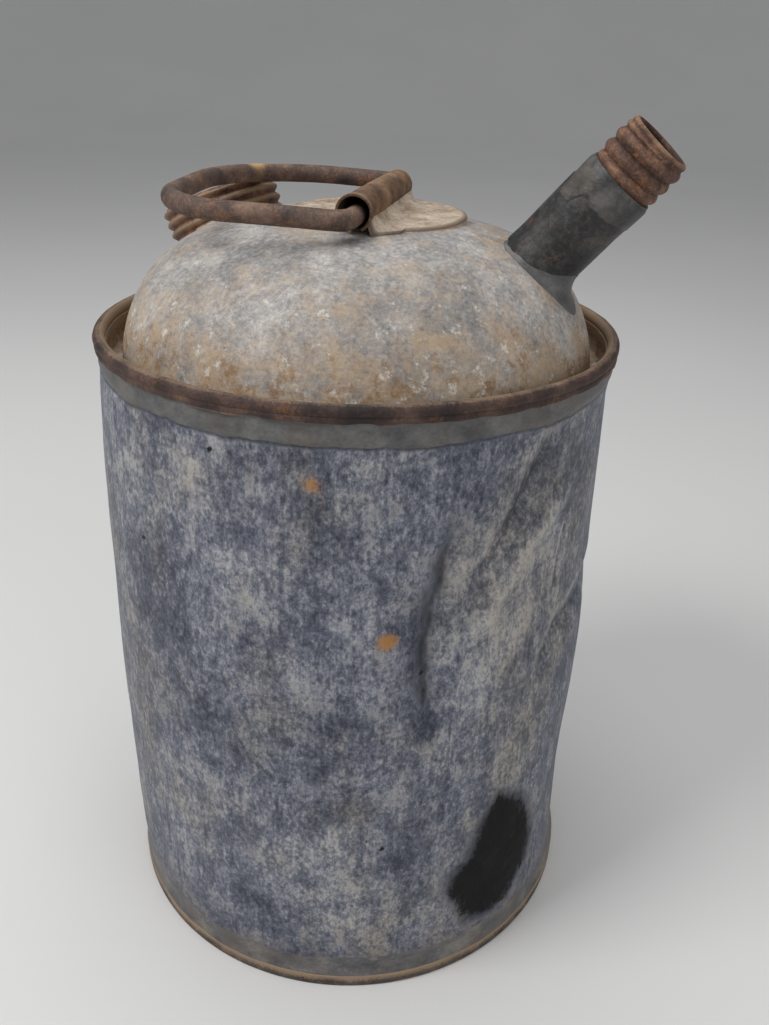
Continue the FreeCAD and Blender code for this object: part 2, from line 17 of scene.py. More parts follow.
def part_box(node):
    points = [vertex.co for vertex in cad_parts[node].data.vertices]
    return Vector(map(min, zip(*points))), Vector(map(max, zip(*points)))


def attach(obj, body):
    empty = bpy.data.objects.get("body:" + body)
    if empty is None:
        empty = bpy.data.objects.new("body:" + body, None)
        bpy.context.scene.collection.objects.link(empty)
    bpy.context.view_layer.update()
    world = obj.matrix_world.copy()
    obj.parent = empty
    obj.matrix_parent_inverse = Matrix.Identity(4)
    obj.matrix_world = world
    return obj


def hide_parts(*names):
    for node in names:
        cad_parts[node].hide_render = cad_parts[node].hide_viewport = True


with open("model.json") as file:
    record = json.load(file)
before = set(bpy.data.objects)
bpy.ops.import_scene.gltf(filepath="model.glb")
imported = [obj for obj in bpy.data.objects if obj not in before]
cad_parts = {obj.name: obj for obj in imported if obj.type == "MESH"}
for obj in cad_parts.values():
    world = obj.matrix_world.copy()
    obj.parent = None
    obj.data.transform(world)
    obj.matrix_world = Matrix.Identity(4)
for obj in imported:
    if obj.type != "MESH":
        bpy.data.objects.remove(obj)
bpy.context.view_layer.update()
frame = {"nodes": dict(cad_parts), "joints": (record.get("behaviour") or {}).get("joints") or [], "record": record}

# ---------------------------------------------------------------- places given by the frame
MM = 0.001


def low(node):
    """Lowest corner of the box round a CAD node."""
    return np.array(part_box(node)[0]) / MM


def high(node):
    """Highest corner of the box round a CAD node."""
    return np.array(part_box(node)[1]) / MM


def mount(name):
    """Point and axis of a mount."""
    found = next(m for m in frame["record"]["mounts"] if m["name"] == name)
    return np.array(found["pos_m"]) / MM, np.array(found["axis"])


HINGE = frame["joints"][0]
SHEET = 0.8

# Body wall
WALL_FOOT, WALL_TOP = low("body_shell")[2], high("body_shell")[2]
WALL_PROFILE = ((12.0, 80.0), (85.0, 80.6), (189.0, 78.0))      # height and radius of the undented wall
WALL_RADIUS = 80.0
NECK_RADIUS = 78.0

# Rim and foot
RIM_TOP, RIM_RADIUS = high("rim_hoop")[2], high("rim_hoop")[0]
BEAD_RADIUS = 1.8
RIM_SOLDER_DEPTH, RIM_SOLDER_SAG, RIM_SOLDER_SAG_AZIMUTH = 9.4, 1.5, -70.0
FOLD_FOOT, INNER_FOLD_FOOT = RIM_TOP - 4.7, low("rim_hoop")[2]
FOLD_RADIUS = 79.2
FOOT_RADIUS = high("bottom_pan")[0]
FOOT_HEIGHT = low("base_solder_band")[2]
PAN_HEIGHT = high("bottom_pan")[2]
BASE_SOLDER_TOP = 12.6
FOLD_GAP = 0.05                                                  # between folded sheets

# Dome: a tight shoulder arc that runs into a wide crown arc
GUTTER_HEIGHT = low("dome_top")[2] + SHEET
DOME_RADIUS = 71.6
SHOULDER_RADIUS = 40.0
SHOULDER_CENTRE = DOME_RADIUS - SHOULDER_RADIUS
SHOULDER_SLOPE = math.radians(16.0)
CROWN_EDGE = SHOULDER_CENTRE + SHOULDER_RADIUS * math.sin(SHOULDER_SLOPE)
CROWN_RADIUS = CROWN_EDGE / math.sin(SHOULDER_SLOPE)
CROWN_CENTRE = GUTTER_HEIGHT + (SHOULDER_RADIUS - CROWN_RADIUS) * math.cos(SHOULDER_SLOPE)
SEAT_RADIUS = 26.0

# Cap plate, lug and bail
PLATE_MIDDLE = (low("cap_plate") + high("cap_plate")) / 2
PLATE_RADIUS = 27.0
PLATE_THICKNESS, PLATE_CROWN, PLATE_SUNK = 1.0, 0.25, 0.25
LUG_LENGTH = 52.0
LUG_RADIUS = 4.7
LUG_FOOT_REACH, LUG_FOOT_THICKNESS = 11.0, 0.9
LUG_BEAD_TOP = 215.0                                             # where the solder ends, round the tube
BAIL_WIRE = 2.7
HINGE_DROP = LUG_RADIUS - SHEET - BAIL_WIRE - 0.3
BAIL_CORNERS = (
    # along the hinge, away from it, bend
    (-33.0, 0.0, 6.5), (-46.0, 49.0, 16.5), (26.0, 54.0, 38.0), (38.5, 0.0, 6.5),
)
BAIL_RISE = math.radians(3.7)
BAIL_SCUFF = (20.0, 46.0, 4.4)                                   # along the hinge, away from it, size

# Filler neck and spout, along their own axes
FILLER_HEIGHT = 11.4
FILLER_RIDGE = 19.4
FILLER_THREAD = (3.3, 1.3, 4)                                    # pitch, depth, turns
SPOUT_LENGTH = 44.0
SPOUT_RADIUS = 10.2
FERRULE_FOOT = SPOUT_LENGTH - 13.6
FERRULE_RIDGE = 10.3
FERRULE_THREAD = (3.8, 1.0, 3)
FERRULE_BORE = 7.9
DRAW_START = FERRULE_FOOT - 1.8
COLLAR_LENGTH = 8.0
TONGUE_TURN, TONGUE_LENGTH = 215.0, 4.5


# ---------------------------------------------------------------- local frames
def unit(vector):
    return vector / np.linalg.norm(vector)


def local_frame(origin, x_axis, z_axis):
    """Origin, and the three axes as rows, of a frame that pieces are shaped in."""
    z_axis = unit(z_axis)
    x_axis = unit(x_axis - z_axis * (x_axis @ z_axis))
    return origin, np.array([x_axis, np.cross(z_axis, x_axis), z_axis])


def out_of(place, points):
    """Points of a local frame, in the can's frame."""
    origin, axes = place
    return origin + points @ axes


def pipe_frame(name, length):
    """Frame of a pipe that ends at a mount: Z along it from the dome, and X on its lower side."""
    tip, axis = mount(name)
    return local_frame(tip - axis * length, np.array([axis[0], axis[1], 0.0]), axis)


HINGE_AXIS = np.array(HINGE["axis"])
HINGE_POINT = np.array(HINGE["pos_m"]) / MM
ACROSS = np.array([HINGE_AXIS[1], -HINGE_AXIS[0], 0.0])
PLATE_NORMAL = np.cross(ACROSS, HINGE_AXIS)
LUG_PLACE = local_frame(HINGE_POINT + HINGE_DROP * PLATE_NORMAL, ACROSS, PLATE_NORMAL)
FILLER_PLACE = pipe_frame("filler_thread", FILLER_HEIGHT)
SPOUT_PLACE = pipe_frame("spout_thread", SPOUT_LENGTH)


# ---------------------------------------------------------------- numbers on grids
def smooth(value, start, end):
    """0 before start and 1 after end, with an S-shaped change between them."""
    share = np.clip((value - start) / (end - start), 0.0, 1.0)
    return share * share * (3.0 - 2.0 * share)


def between(value, start, full, fade, end):
    """0 before start and after end, and 1 from full to fade."""
    return smooth(value, start, full) * (1.0 - smooth(value, fade, end))


def curve(start, middle, end, share):
    """Place on a bent line that leaves start towards middle and comes to end from it."""
    return (1 - share) ** 2 * start + 2 * share * (1 - share) * middle + share ** 2 * end


def lumps(points, size, seed):
    """Smooth noise from about -1 to 1 at each point; size is the width of its lumps in millimetres."""
    flat = points.reshape(-1, 3) / size + seed
    return np.array([noise.noise(Vector(p)) for p in flat.tolist()]).reshape(points.shape[:-1])


def relief(points, *layers):
    """Sum of layers of smooth noise, given as (height, width of its lumps, seed)."""
    return sum(amount * lumps(points, size, seed) for amount, size, seed in layers)


def stacked(*coordinates):
    """Points from grids of their coordinates."""
    return np.stack(np.broadcast_arrays(*coordinates), axis=-1)


def around(azimuth, radius, height):
    """Points from cylindrical coordinates, with the azimuth in degrees."""
    angle = np.radians(azimuth)
    return stacked(radius * np.cos(angle), radius * np.sin(angle), height)


def turn_columns(count):
    """Azimuths of the columns of a closed ring."""
    return np.arange(count)[None, :] * 360.0 / count


def row_values(start, end, count):
    """Evenly spaced numbers, one for each row of a grid."""
    return np.linspace(start, end, count)[:, None]


def column_values(start, end, count):
    """Evenly spaced numbers, one for each column of a grid."""
    return np.linspace(start, end, count)[None, :]


def path_distance(azimuth, height, path):
    """Signed distance on the wall from a path of (azimuth, height) points, and the share of the way along it.

    The distance is positive to the right of the path as seen from outside with the path running down.
    """
    here = stacked(np.radians(azimuth) * WALL_RADIUS, height)
    corners = np.array([(math.radians(a) * WALL_RADIUS, z) for a, z in path])
    steps = np.diff(corners, axis=0)
    lengths = np.linalg.norm(steps, axis=1)
    travelled = np.concatenate([[0.0], np.cumsum(lengths)])
    best = np.full(here.shape[:-1], 1e9)
    along = np.zeros_like(best)
    for start, step, length, before in zip(corners[:-1], steps, lengths, travelled):
        share = np.clip(((here - start) @ step) / length ** 2, 0.0, 1.0)
        gap = here - (start + share[..., None] * step)
        side = np.sign(step[0] * gap[..., 1] - step[1] * gap[..., 0])
        distance = np.linalg.norm(gap, axis=-1)
        closer = distance < np.abs(best)
        best = np.where(closer, distance * np.where(side == 0, 1, side), best)
        along = np.where(closer, (before + share * length) / travelled[-1], along)
    return best, along


def round_gap(azimuth, centre):
    """Distance round the wall from an azimuth, in millimetres."""
    return np.radians((azimuth - centre + 180.0) % 360.0 - 180.0) * WALL_RADIUS


def marks(azimuth, height, spots):
    """Sum of soft round marks on the wall, given as (azimuth, height, amount, half width, half height)."""
    total = np.zeros(np.broadcast_shapes(np.shape(azimuth), np.shape(height)))
    for centre, middle, amount, wide, tall in spots:
        gap = (round_gap(azimuth, centre) / wide) ** 2 + ((height - middle) / tall) ** 2
        total = total + amount * np.exp(-gap)
    return total


def inside_distance(azimuth, height, outline):
    """Signed distance on the wall from a closed outline, positive inside it."""
    distance, _ = path_distance(azimuth, height, outline + outline[:1])
    here_x, here_z = np.broadcast_arrays(azimuth, height)
    inside = np.zeros(here_x.shape, bool)
    for (x1, z1), (x2, z2) in zip(outline, outline[1:] + outline[:1]):
        crosses = (z1 > here_z) != (z2 > here_z)
        reach = x1 + (here_z - z1) * (x2 - x1) / (z2 - z1 if z2 != z1 else 1e-9)
        inside ^= crosses & (here_x < reach)
    return np.where(inside, np.abs(distance), -np.abs(distance))


def corner(before, here, after):
    """Directions from a corner back and ahead, and half of the angle between them."""
    back, ahead = unit(before - here), unit(after - here)
    return back, ahead, math.acos(np.clip(back @ ahead, -1.0, 1.0)) / 2


def rounded_outline(corners, steps=6):
    """Points of an outline given as (x, y, bend radius) corners, with an arc where the radius isn't 0."""
    points = []
    places = np.array([place[:2] for place in corners])
    for index, here in enumerate(places):
        bend = corners[index][2]
        if bend == 0:
            points.append(here)
            continue
        back, ahead, half_angle = corner(places[index - 1], here, places[(index + 1) % len(places)])
        reach = bend / math.tan(half_angle)
        for share in np.linspace(0.0, 1.0, steps):
            start, end = here + back * reach, here + ahead * reach
            points.append(curve(start, here, end, share))
    return np.array(points)


def divided(points, longest):
    """A polyline with extra points, so that no step is longer than a length."""
    result = [points[0]]
    for start, end in zip(points[:-1], points[1:]):
        count = max(1, math.ceil(np.linalg.norm(end - start) / longest))
        result += [start + (end - start) * (i + 1) / count for i in range(count)]
    return np.array(result)


# ---------------------------------------------------------------- the can's own surfaces
CREASE = ((-51.2, 180), (-51.6, 170), (-51.9, 160), (-52.5, 152), (-54.4, 145), (-55.0, 134), (-55.2, 121),
          (-53.6, 109), (-53.4, 98))
FOLDS = (
    # path of (azimuth, height), height of the fold, half width
    (((-27, 192), (-30.5, 181), (-33.5, 172), (-38, 163), (-43, 154), (-49, 144)), -2, 8),
    (((-14, 172), (-22, 165), (-31, 157), (-36.5, 148), (-42, 138), (-49, 128)), 1.6, 9),
    (((-16.5, 160), (-18.5, 149), (-20.5, 135)), -0.9, 4),
    (((16, 129), (0, 126), (-10, 124), (-17, 121), (-22, 114), (-24, 100)), -2.6, 10),
)
HOLLOWS = (
    # azimuth, height, depth, half width round the can, half width up it
    (-26, 152, 2.4, 34, 34),
    (8, 52, 1.7, 26, 30),
    (60, 120, 1.6, 28, 40),
    (165, 70, 1.8, 26, 30),
    (-125, 60, 0.8, 24, 36),
)
SOOT = [(-34.5, 70), (-27.5, 64), (-23, 52), (-19.5, 40), (-20.8, 28), (-27, 18.5), (-34, 16),
        (-40, 18), (-43, 27), (-47, 36), (-46, 43), (-42, 47), (-40.5, 55), (-38, 64)]
TONE_MARKS = (
    # azimuth, height, lighter (+) or darker (-), half width round the can, half width up it
    (-101, 180, 1, 9, 10), (-92, 157, 0.7, 8, 9), (-112, 165, 0.5, 8, 7),
    (-125, 172, 0.5, 10, 18), (-66, 144, 0.5, 6, 8), (-78, 132, 0.4, 7, 8),
    (-35, 140, 0.9, 20, 20), (-24, 156, 0.6, 12, 8), (-42, 118, 0.7, 10, 15),
    (-75, 58, 0.7, 15, 17), (-46, 56, 0.5, 8, 14), (-68, 32, 0.5, 12, 12),
    (-48, 30, 0.4, 6, 10), (-36, 92, 0.4, 14, 20), (-112, 40, 0.3, 10, 16),
    (-85, 187, -0.9, 14, 4), (-76, 171, -0.5, 12, 8), (-104, 189, -0.7, 6, 3),
    (-48, 183, -0.6, 14, 8), (-28, 182, -0.7, 8, 8), (-18.5, 161, -1.6, 3.5, 4),
    (-113, 130, -0.6, 12, 16), (-118, 150, -0.6, 12, 9), (-72, 108, -0.6, 18, 14),
    # The darker marks at azimuths -57.5 and -54 are painted shade beside and in the crease.
    (-57.5, 137, -1, 3.5, 10), (-54, 107, -1, 3.5, 6), (-72, 77, -0.6, 10, 6),
    (-58.5, 56, -0.9, 4.5, 13), (-98, 36, -0.8, 14, 8), (-95, 62, -0.5, 5, 6),
    (-60, 36, -0.6, 6, 6), (-102, 96, -0.4, 12, 16), (-88, 30, -0.5, 8, 8),
)
WARM_MARKS = (
    (-28, 145, 1, 32, 30), (-101, 180, 0.8, 9, 10), (-75, 58, 0.4, 14, 16),
    (-112, 100, 0.6, 16, 24), (-30, 90, 0.5, 22, 24), (-70, 78, 0.7, 9, 5),
    (-68, 26, 0.7, 26, 12), (-130, 130, 0.5, 14, 70),
)
RUST_SPOTS = ((-77.5, 182, 0.85, 3.4, 2.8), (-75.4, 176.5, 0.45, 1.8, 3.2), (-63.2, 137, 1.2, 3.6, 2.8),
              (-63.5, 130, 0.3, 2, 4), (-71.5, 25, 0.4, 2, 4), (-120, 84, 0.3, 3, 4),
              (-58.5, 43, 0.3, 1.6, 2), (-58.5, 92, 0.3, 1.2, 1.4))
PINHOLES = ((-62.9, 62.5, 1.2, 1, 1.1), (-66.4, 66, 1, 0.8, 0.8), (-117, 154, 1.1, 1.3, 0.9),
            (-97.5, 187.5, 1.1, 1.2, 0.9), (-55.5, 124, 1, 1, 1.2))
LEAN_AZIMUTH, LEAN = -148.0, 0.9
CREASE_DEPTH = 3.2
CREASE_RIGHT, CREASE_LEFT = 9.0, 14.0                            # widths of its two sides
SEAM_AZIMUTH, SEAM_HALF_ANGLE = 110.0, 2.4
SEAM_TOP = RIM_TOP - 10.0
SKIN_SUNK = 0.3                                                  # how far solder goes into the wall behind it


def wall_radius(height):
    """Radius of the undented wall."""
    heights, radii = zip(*WALL_PROFILE)
    return np.polyval(np.polyfit(heights, radii, 2), np.clip(height, heights[0], heights[-1]))


def dings():
    """Small knocks scattered over the wall, as marks whose amount is their depth."""
    scatter = random.Random(11)
    return [(scatter.uniform(-180, 180), scatter.uniform(20, 180), scatter.uniform(0.1, 0.4),
             scatter.uniform(3.0, 7.0), scatter.uniform(3.0, 9.0)) for _ in range(60)]


def crease_distance(azimuth, height):
    """Signed distance from the crease's wandering line, and the share of the way down it."""
    distance, along = path_distance(azimuth, height, CREASE)
    return distance + relief(around(azimuth, WALL_RADIUS, height), (1.4, 9.0, 6.1), (0.6, 3.5, 2.2)), along


def wall_offset(azimuth, height):
    """How far the battered wall stands out from the round one."""
    azimuth, height = np.broadcast_arrays(azimuth, height)
    place = around(azimuth, WALL_RADIUS, height)
    offset = LEAN * np.cos(np.radians(azimuth - LEAN_AZIMUTH))
    offset = offset + relief(place, (0.55, 46.0, 3.7), (0.14, 13.0, 9.1))
    offset = offset - marks(azimuth, height, HOLLOWS) - marks(azimuth, height, dings())
    distance, along = crease_distance(azimuth, height)
    width = np.where(distance > 0, CREASE_RIGHT, CREASE_LEFT)
    depth = CREASE_DEPTH * between(along, 0.0, 0.4, 0.75, 1.0)
    offset = offset - depth * np.clip(1.0 - np.abs(distance) / width, 0.0, 1.0) ** 1.8
    for path, rise, width in FOLDS:
        distance, along = path_distance(azimuth, height, path)
        rise = rise * between(along, 0.0, 0.25, 0.75, 1.0)
        offset = offset + rise * np.clip(1.0 - np.abs(distance) / width, 0.0, 1.0) ** 1.6
    stiffened_ends = between(height, 2.0, 22.0, 186.0, 198.0)
    return offset * stiffened_ends


def wall_points(azimuth, height, out=0.0):
    """Points on the battered wall, or a distance outside it."""
    azimuth, height, out = np.broadcast_arrays(azimuth, height, out)
    return around(azimuth, wall_radius(height) + wall_offset(azimuth, height) + out, height)


def crown_height(radius):
    return CROWN_CENTRE + np.sqrt(CROWN_RADIUS ** 2 - radius ** 2)


def dome_height(x, y):
    """Height of the dome's battered outside over a place; straight down to the gutter past its foot."""
    radius = np.hypot(x, y)
    crown = crown_height(np.clip(radius, SEAT_RADIUS, CROWN_EDGE))
    across = np.clip(radius - SHOULDER_CENTRE, 0.0, SHOULDER_RADIUS)
    shoulder = GUTTER_HEIGHT + np.sqrt(SHOULDER_RADIUS ** 2 - across ** 2)
    place = stacked(x, y, 0.0)
    bumps = relief(place, (0.55, 33.0, 5.2), (0.16, 11.0, 1.4))
    return np.where(radius < CROWN_EDGE, crown, shoulder) + bumps * (1.0 - smooth(radius, 58.0, 70.0))


def pipe_foot(place, radius, turn):
    """Distance along a pipe's frame at which each line of its wall meets the dome."""
    below, above = np.full(turn.shape, -25.0), np.full(turn.shape, 25.0)
    for _ in range(24):
        middle = (below + above) / 2
        points = out_of(place, around(turn, radius, middle))
        outside = points[..., 2] > dome_height(points[..., 0], points[..., 1])
        above = np.where(outside, middle, above)
        below = np.where(outside, below, middle)
    return (below + above) / 2


# ---------------------------------------------------------------- mesh makers
SHARP_ANGLE = math.radians(38.0)


def grid_faces(rows, columns, wrap_rows, wrap_columns):
    """Quads between neighbouring points of a grid."""
    row = np.arange(rows if wrap_rows else rows - 1)[:, None]
    column = np.arange(columns if wrap_columns else columns - 1)[None, :]
    next_row, next_column = (row + 1) % rows, (column + 1) % columns
    corners = [row * columns + column, row * columns + next_column,
               next_row * columns + next_column, next_row * columns + column]
    return stacked(*corners).reshape(-1, 4)


def make_object(name, points, faces, material=None, paint=None):
    """An object from points in millimetres, with its doubled points joined and its faces turned outwards.

    paint holds one number per point under each name, for the material to read.
    """
    mesh = bpy.data.meshes.new(name)
    mesh.from_pydata((points.reshape(-1, 3) * MM).tolist(), [], faces.tolist())
    for label, values in (paint or {}).items():
        layer = mesh.attributes.new(label, "FLOAT", "POINT")
        layer.data.foreach_set("value", np.asarray(values, np.float32).ravel())
    shaped = bmesh.new()
    shaped.from_mesh(mesh)
    bmesh.ops.remove_doubles(shaped, verts=shaped.verts, dist=0.002 * MM)
    bmesh.ops.dissolve_degenerate(shaped, edges=shaped.edges, dist=0.001 * MM)
    bmesh.ops.recalc_face_normals(shaped, faces=shaped.faces)
    shaped.to_mesh(mesh)
    shaped.free()
    mesh.shade_smooth()
    mesh.set_sharp_from_angle(angle=SHARP_ANGLE)
    if material:
        mesh.materials.append(material)
    made = bpy.data.objects.new(name, mesh)
    bpy.context.scene.collection.objects.link(made)
    return made


def make_piece(name, material, slot, node, body, points, faces, paint=None):
    """A piece that stands for a CAD node and rides on its body."""
    piece = make_object(name, points, faces, material, paint)
    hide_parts(node)
    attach(piece, body)
    return piece


def shell(outer, inner, closed):
    """Points and faces of a sheet between two grids; closed says that its columns go all the way round."""
    rows, columns = outer.shape[:2]
    points = np.concatenate([outer, inner[::-1]])
    faces = grid_faces(len(points), columns, True, closed)
    if not closed:
        row = np.arange(rows - 1)
        partner = 2 * rows - 1 - row
        ends = [np.stack([row, row + 1, partner - 1, partner], axis=-1) * columns + column
                for column in (0, columns - 1)]
        faces = np.concatenate([faces, *ends])
    return points, faces


def two_sided(outside, inside):
    """Paint for a shell, from the amounts on its outer and on its inner grid."""
    return np.concatenate(np.broadcast_arrays(outside, inside))


def wall_skin(azimuth, height, thickness, closed=True):
    """Points and faces of a skin of solder on the battered wall."""
    return shell(wall_points(azimuth, height, thickness), wall_points(azimuth, height, -SKIN_SUNK), closed)


def pipe_shell(place, turn, outer, inner, reach):
    """Points and faces of a pipe's wall, from its radii and the distance along its frame."""
    return shell(out_of(place, around(turn, outer, reach)), out_of(place, around(turn, inner, reach)), True)


def lathe(outline, columns, shift, closed=True):
    """Points and faces of a ring about Z from a section of (radius, height) points.

    shift(azimuth, radius, height) gives how far to move each point outwards and upwards.
    """
    azimuth = turn_columns(columns)
    radius, height = outline[:, :1], outline[:, 1:]
    outward, upward = shift(azimuth, radius, height)
    points = around(azimuth, radius + outward, height + upward)
    return points, grid_faces(len(outline), columns, closed, True)


# ---------------------------------------------------------------- shader helper
def srgb(red, green, blue):
    """A colour as seen on a screen, from 0 to 255, in the shader's linear units."""
    levels = [c / 255.0 for c in (red, green, blue)]
    return tuple(c / 12.92 if c <= 0.04045 else ((c + 0.055) / 1.055) ** 2.4 for c in levels) + (1.0,)


class Finish:
    """Builds one material's nodes; sizes are in millimetres."""

    def __init__(self, name):
        self.material = bpy.data.materials.new(name)
        self.material.use_nodes = True
        self.tree = self.material.node_tree
        self.tree.nodes.clear()
        self.place = self.tree.nodes.new("ShaderNodeTexCoord").outputs["Object"]

    def node(self, kind, inputs, **settings):
        """A node with its settings, whose inputs are constants or other nodes' outputs."""
        made = self.tree.nodes.new(kind)
        for label, value in settings.items():
            setattr(made, label, value)
        for label, value in inputs.items():
            if isinstance(value, bpy.types.NodeSocket):
                self.tree.links.new(value, made.inputs[label])
            else:
                made.inputs[label].default_value = value
        return made

    def stretched(self, stretch, shift):
        """Position scaled by a factor along each axis, and moved to another part of the pattern."""
        inputs = {"Vector": self.place, "Scale": stretch, "Location": (shift, shift * 1.7, shift * 2.3)}
        return self.node("ShaderNodeMapping", inputs).outputs["Vector"]

    def noise(self, size, detail=5.0, rough=0.6, shift=0.0, stretch=(1, 1, 1), warp=0.0):
        inputs = {"Vector": self.stretched(stretch, shift), "Scale": 1.0 / (size * MM), "Detail": detail,
                  "Roughness": rough, "Distortion": warp}
        return self.node("ShaderNodeTexNoise", inputs).outputs["Fac"]

    def paint(self, label):
        return self.node("ShaderNodeAttribute", {}, attribute_name=label).outputs["Fac"]

    def height(self):
        """Height above the floor in millimetres."""
        split = self.node("ShaderNodeSeparateXYZ", {"Vector": self.place})
        return self.math("MULTIPLY", split.outputs["Z"], 1.0 / MM)

    def math(self, operation, first, second=0.0):
        return self.node("ShaderNodeMath", {0: first, 1: second}, operation=operation).outputs[0]

    def mixture(self, *parts, middle=0.5):
        """Weighted sum of noises, which centre on a half, and of painted amounts; it centres on middle."""
        total = middle
        for value, weight in parts:
            part = self.math("MULTIPLY", value, weight)
            if value.node.bl_idname == "ShaderNodeTexNoise":
                part = self.math("SUBTRACT", part, weight / 2)
            total = self.math("ADD", total, part)
        return total

    def band(self, value, start, end, most=1.0):
        """0 where a value is at start, rising smoothly to most where it is at end."""
        inputs = {"Value": value, "From Min": start, "From Max": end, "To Min": 0.0, "To Max": most}
        return self.node("ShaderNodeMapRange", inputs, interpolation_type="SMOOTHSTEP").outputs["Result"]

    def blend(self, share, first, second):
        inputs = {0: share, 6: first, 7: second}
        return self.node("ShaderNodeMix", inputs, data_type="RGBA").outputs[2]

    def mottle(self, value, *stops):
        """Colours along a ramp, given as (place, colour)."""
        ramp = self.node("ShaderNodeValToRGB", {0: value})
        while len(ramp.color_ramp.elements) < len(stops):
            ramp.color_ramp.elements.new(0.5)
        for element, (place, colour) in zip(ramp.color_ramp.elements, stops):
            element.position = place
            element.color = colour
        return ramp.outputs["Color"]

    def bumps(self, *layers):
        """Normal with several layers of relief, given as (height socket, depth in millimetres)."""
        normal = None
        for value, depth in layers:
            inputs = {"Height": value, "Distance": depth * MM, "Strength": 1.0}
            if normal is not None:
                inputs["Normal"] = normal
            normal = self.node("ShaderNodeBump", inputs).outputs["Normal"]
        return normal

    def done(self, colour, rough, normal, metallic, specular=0.5):
        shader = self.node("ShaderNodeBsdfPrincipled", {
            "Base Color": colour, "Roughness": rough, "Normal": normal, "Metallic": metallic,
            "Specular IOR Level": specular})
        self.node("ShaderNodeOutputMaterial", {"Surface": shader.outputs["BSDF"]})
        return self.material


# ---------------------------------------------------------------- materials
RUST_ORANGE = srgb(186, 118, 48)
RUST_BROWN = srgb(112, 76, 54)
DARK_RUST_AND_SHADE = srgb(46, 36, 32)
TAN_WEAR_AND_HIGHLIGHT = srgb(164, 140, 114)
OXIDE_TAN = srgb(182, 152, 114)
SPOT_OCHRE = srgb(178, 124, 56)
SCUFF_YELLOW = srgb(208, 168, 108)


def weathered_zinc():
    """Mottled blue-grey galvanising with chalky patches, streaks, soot and a few rust spots."""
    f = Finish("weathered_zinc")
    broad = f.noise(30.0, 3.0, 0.6, 0.1, (1, 1, 0.8), 0.5)
    cloud = f.noise(7.0, 7.0, 0.76, 0.3, (1, 1, 0.75), 0.2)
    grain = f.noise(1.3, 5.0, 0.8, 0.5, (1, 1, 0.7))
    streak = f.noise(1.5, 4.0, 0.65, 2.0, (1, 1, 0.07))
    # The tone paint holds lighter and darker patches, painted shade beside the crease, and painted shade and
    # highlight along the folds.
    tone = f.mixture((broad, 0.5), (cloud, 1.6), (grain, 1.6), (streak, 0.45), (f.paint("tone"), 0.18))
    cool = f.mottle(tone, (0.12, srgb(56, 60, 73)), (0.42, srgb(97, 101, 114)), (0.6, srgb(130, 133, 144)),
                    (0.9, srgb(188, 187, 188)))
    warm = f.mottle(tone, (0.12, srgb(68, 67, 72)), (0.42, srgb(106, 105, 107)), (0.6, srgb(140, 137, 134)),
                    (0.9, srgb(184, 178, 169)))
    patches = f.noise(20.0, 5.0, 0.65, 0.9, (1, 1, 0.6))
    warmth = f.mixture((patches, 2.4), (cloud, 1.2), (f.paint("warm"), 0.6))
    colour = f.blend(f.band(warmth, 0.3, 1.3), cool, warm)
    rust = f.mixture((grain, 1.6), (cloud, 0.8), (f.paint("rust"), 1.0), middle=0.0)
    colour = f.blend(f.band(rust, 0.25, 1.0, 0.85), colour, SPOT_OCHRE)
    colour = f.blend(f.band(rust, 1.15, 1.6, 0.6), colour, RUST_BROWN)
    foot = f.mixture((cloud, 2.0), (f.band(f.height(), 40.0, 6.0), 0.6), middle=0.0)
    colour = f.blend(f.band(foot, 0.3, 0.8, 0.55), colour, srgb(104, 92, 78))
    # Painted shade in and beside the crease, from the crease paint.
    crease = f.mixture((cloud, 3.4), (grain, 1.6), (f.paint("crease"), 1.2), middle=0.0)
    colour = f.blend(f.band(crease, 0.3, 1.1, 0.8), colour, srgb(40, 43, 52))
    fringe = f.mixture((cloud, 1.6), (grain, 0.8), (f.paint("fringe"), 1.0), middle=0.0)
    colour = f.blend(f.band(fringe, 0.45, 1.0, 0.75), colour, srgb(44, 46, 54))
    soot = f.mixture((cloud, 18.0), (grain, 8.0), (f.paint("soot"), 1.0), middle=0.6)
    sooty = f.band(soot, -3.6, 3.0, 0.98)
    colour = f.blend(sooty, colour, srgb(6, 6, 7))
    colour = f.blend(f.band(f.paint("pinhole"), 0.3, 0.8), colour, srgb(16, 16, 17))
    rough = f.mixture((cloud, 0.7), (grain, 0.3), (sooty, 0.3), middle=0.52)
    normal = f.bumps((cloud, 0.5), (grain, 0.28), (streak, 0.05))
    return f.done(colour, rough, normal, 0.1, 0.25)


def wiped_solder(name, dark, middle, pale, shift):
    """Smooth dull solder with darker smears."""
    f = Finish(name)
    cloud = f.noise(9.0, 5.0, 0.6, shift, (1, 1, 1.4))
    grain = f.noise(1.2, 4.0, 0.65, shift + 0.7, (1, 1, 1.4))
    tone = f.mixture((cloud, 1.5), (grain, 0.6))
    colour = f.mottle(tone, (0.2, dark), (0.5, middle), (0.85, pale))
    warm = f.band(f.noise(20.0, 4.0, 0.6, shift + 1.2), 0.5, 0.7, 0.35)
    colour = f.blend(warm, colour, srgb(112, 98, 82))
    rough = f.mixture((cloud, 0.6), (grain, 0.2), middle=0.5)
    normal = f.bumps((cloud, 0.3), (grain, 0.12))
    return f.done(colour, rough, normal, 0.2, 0.4)


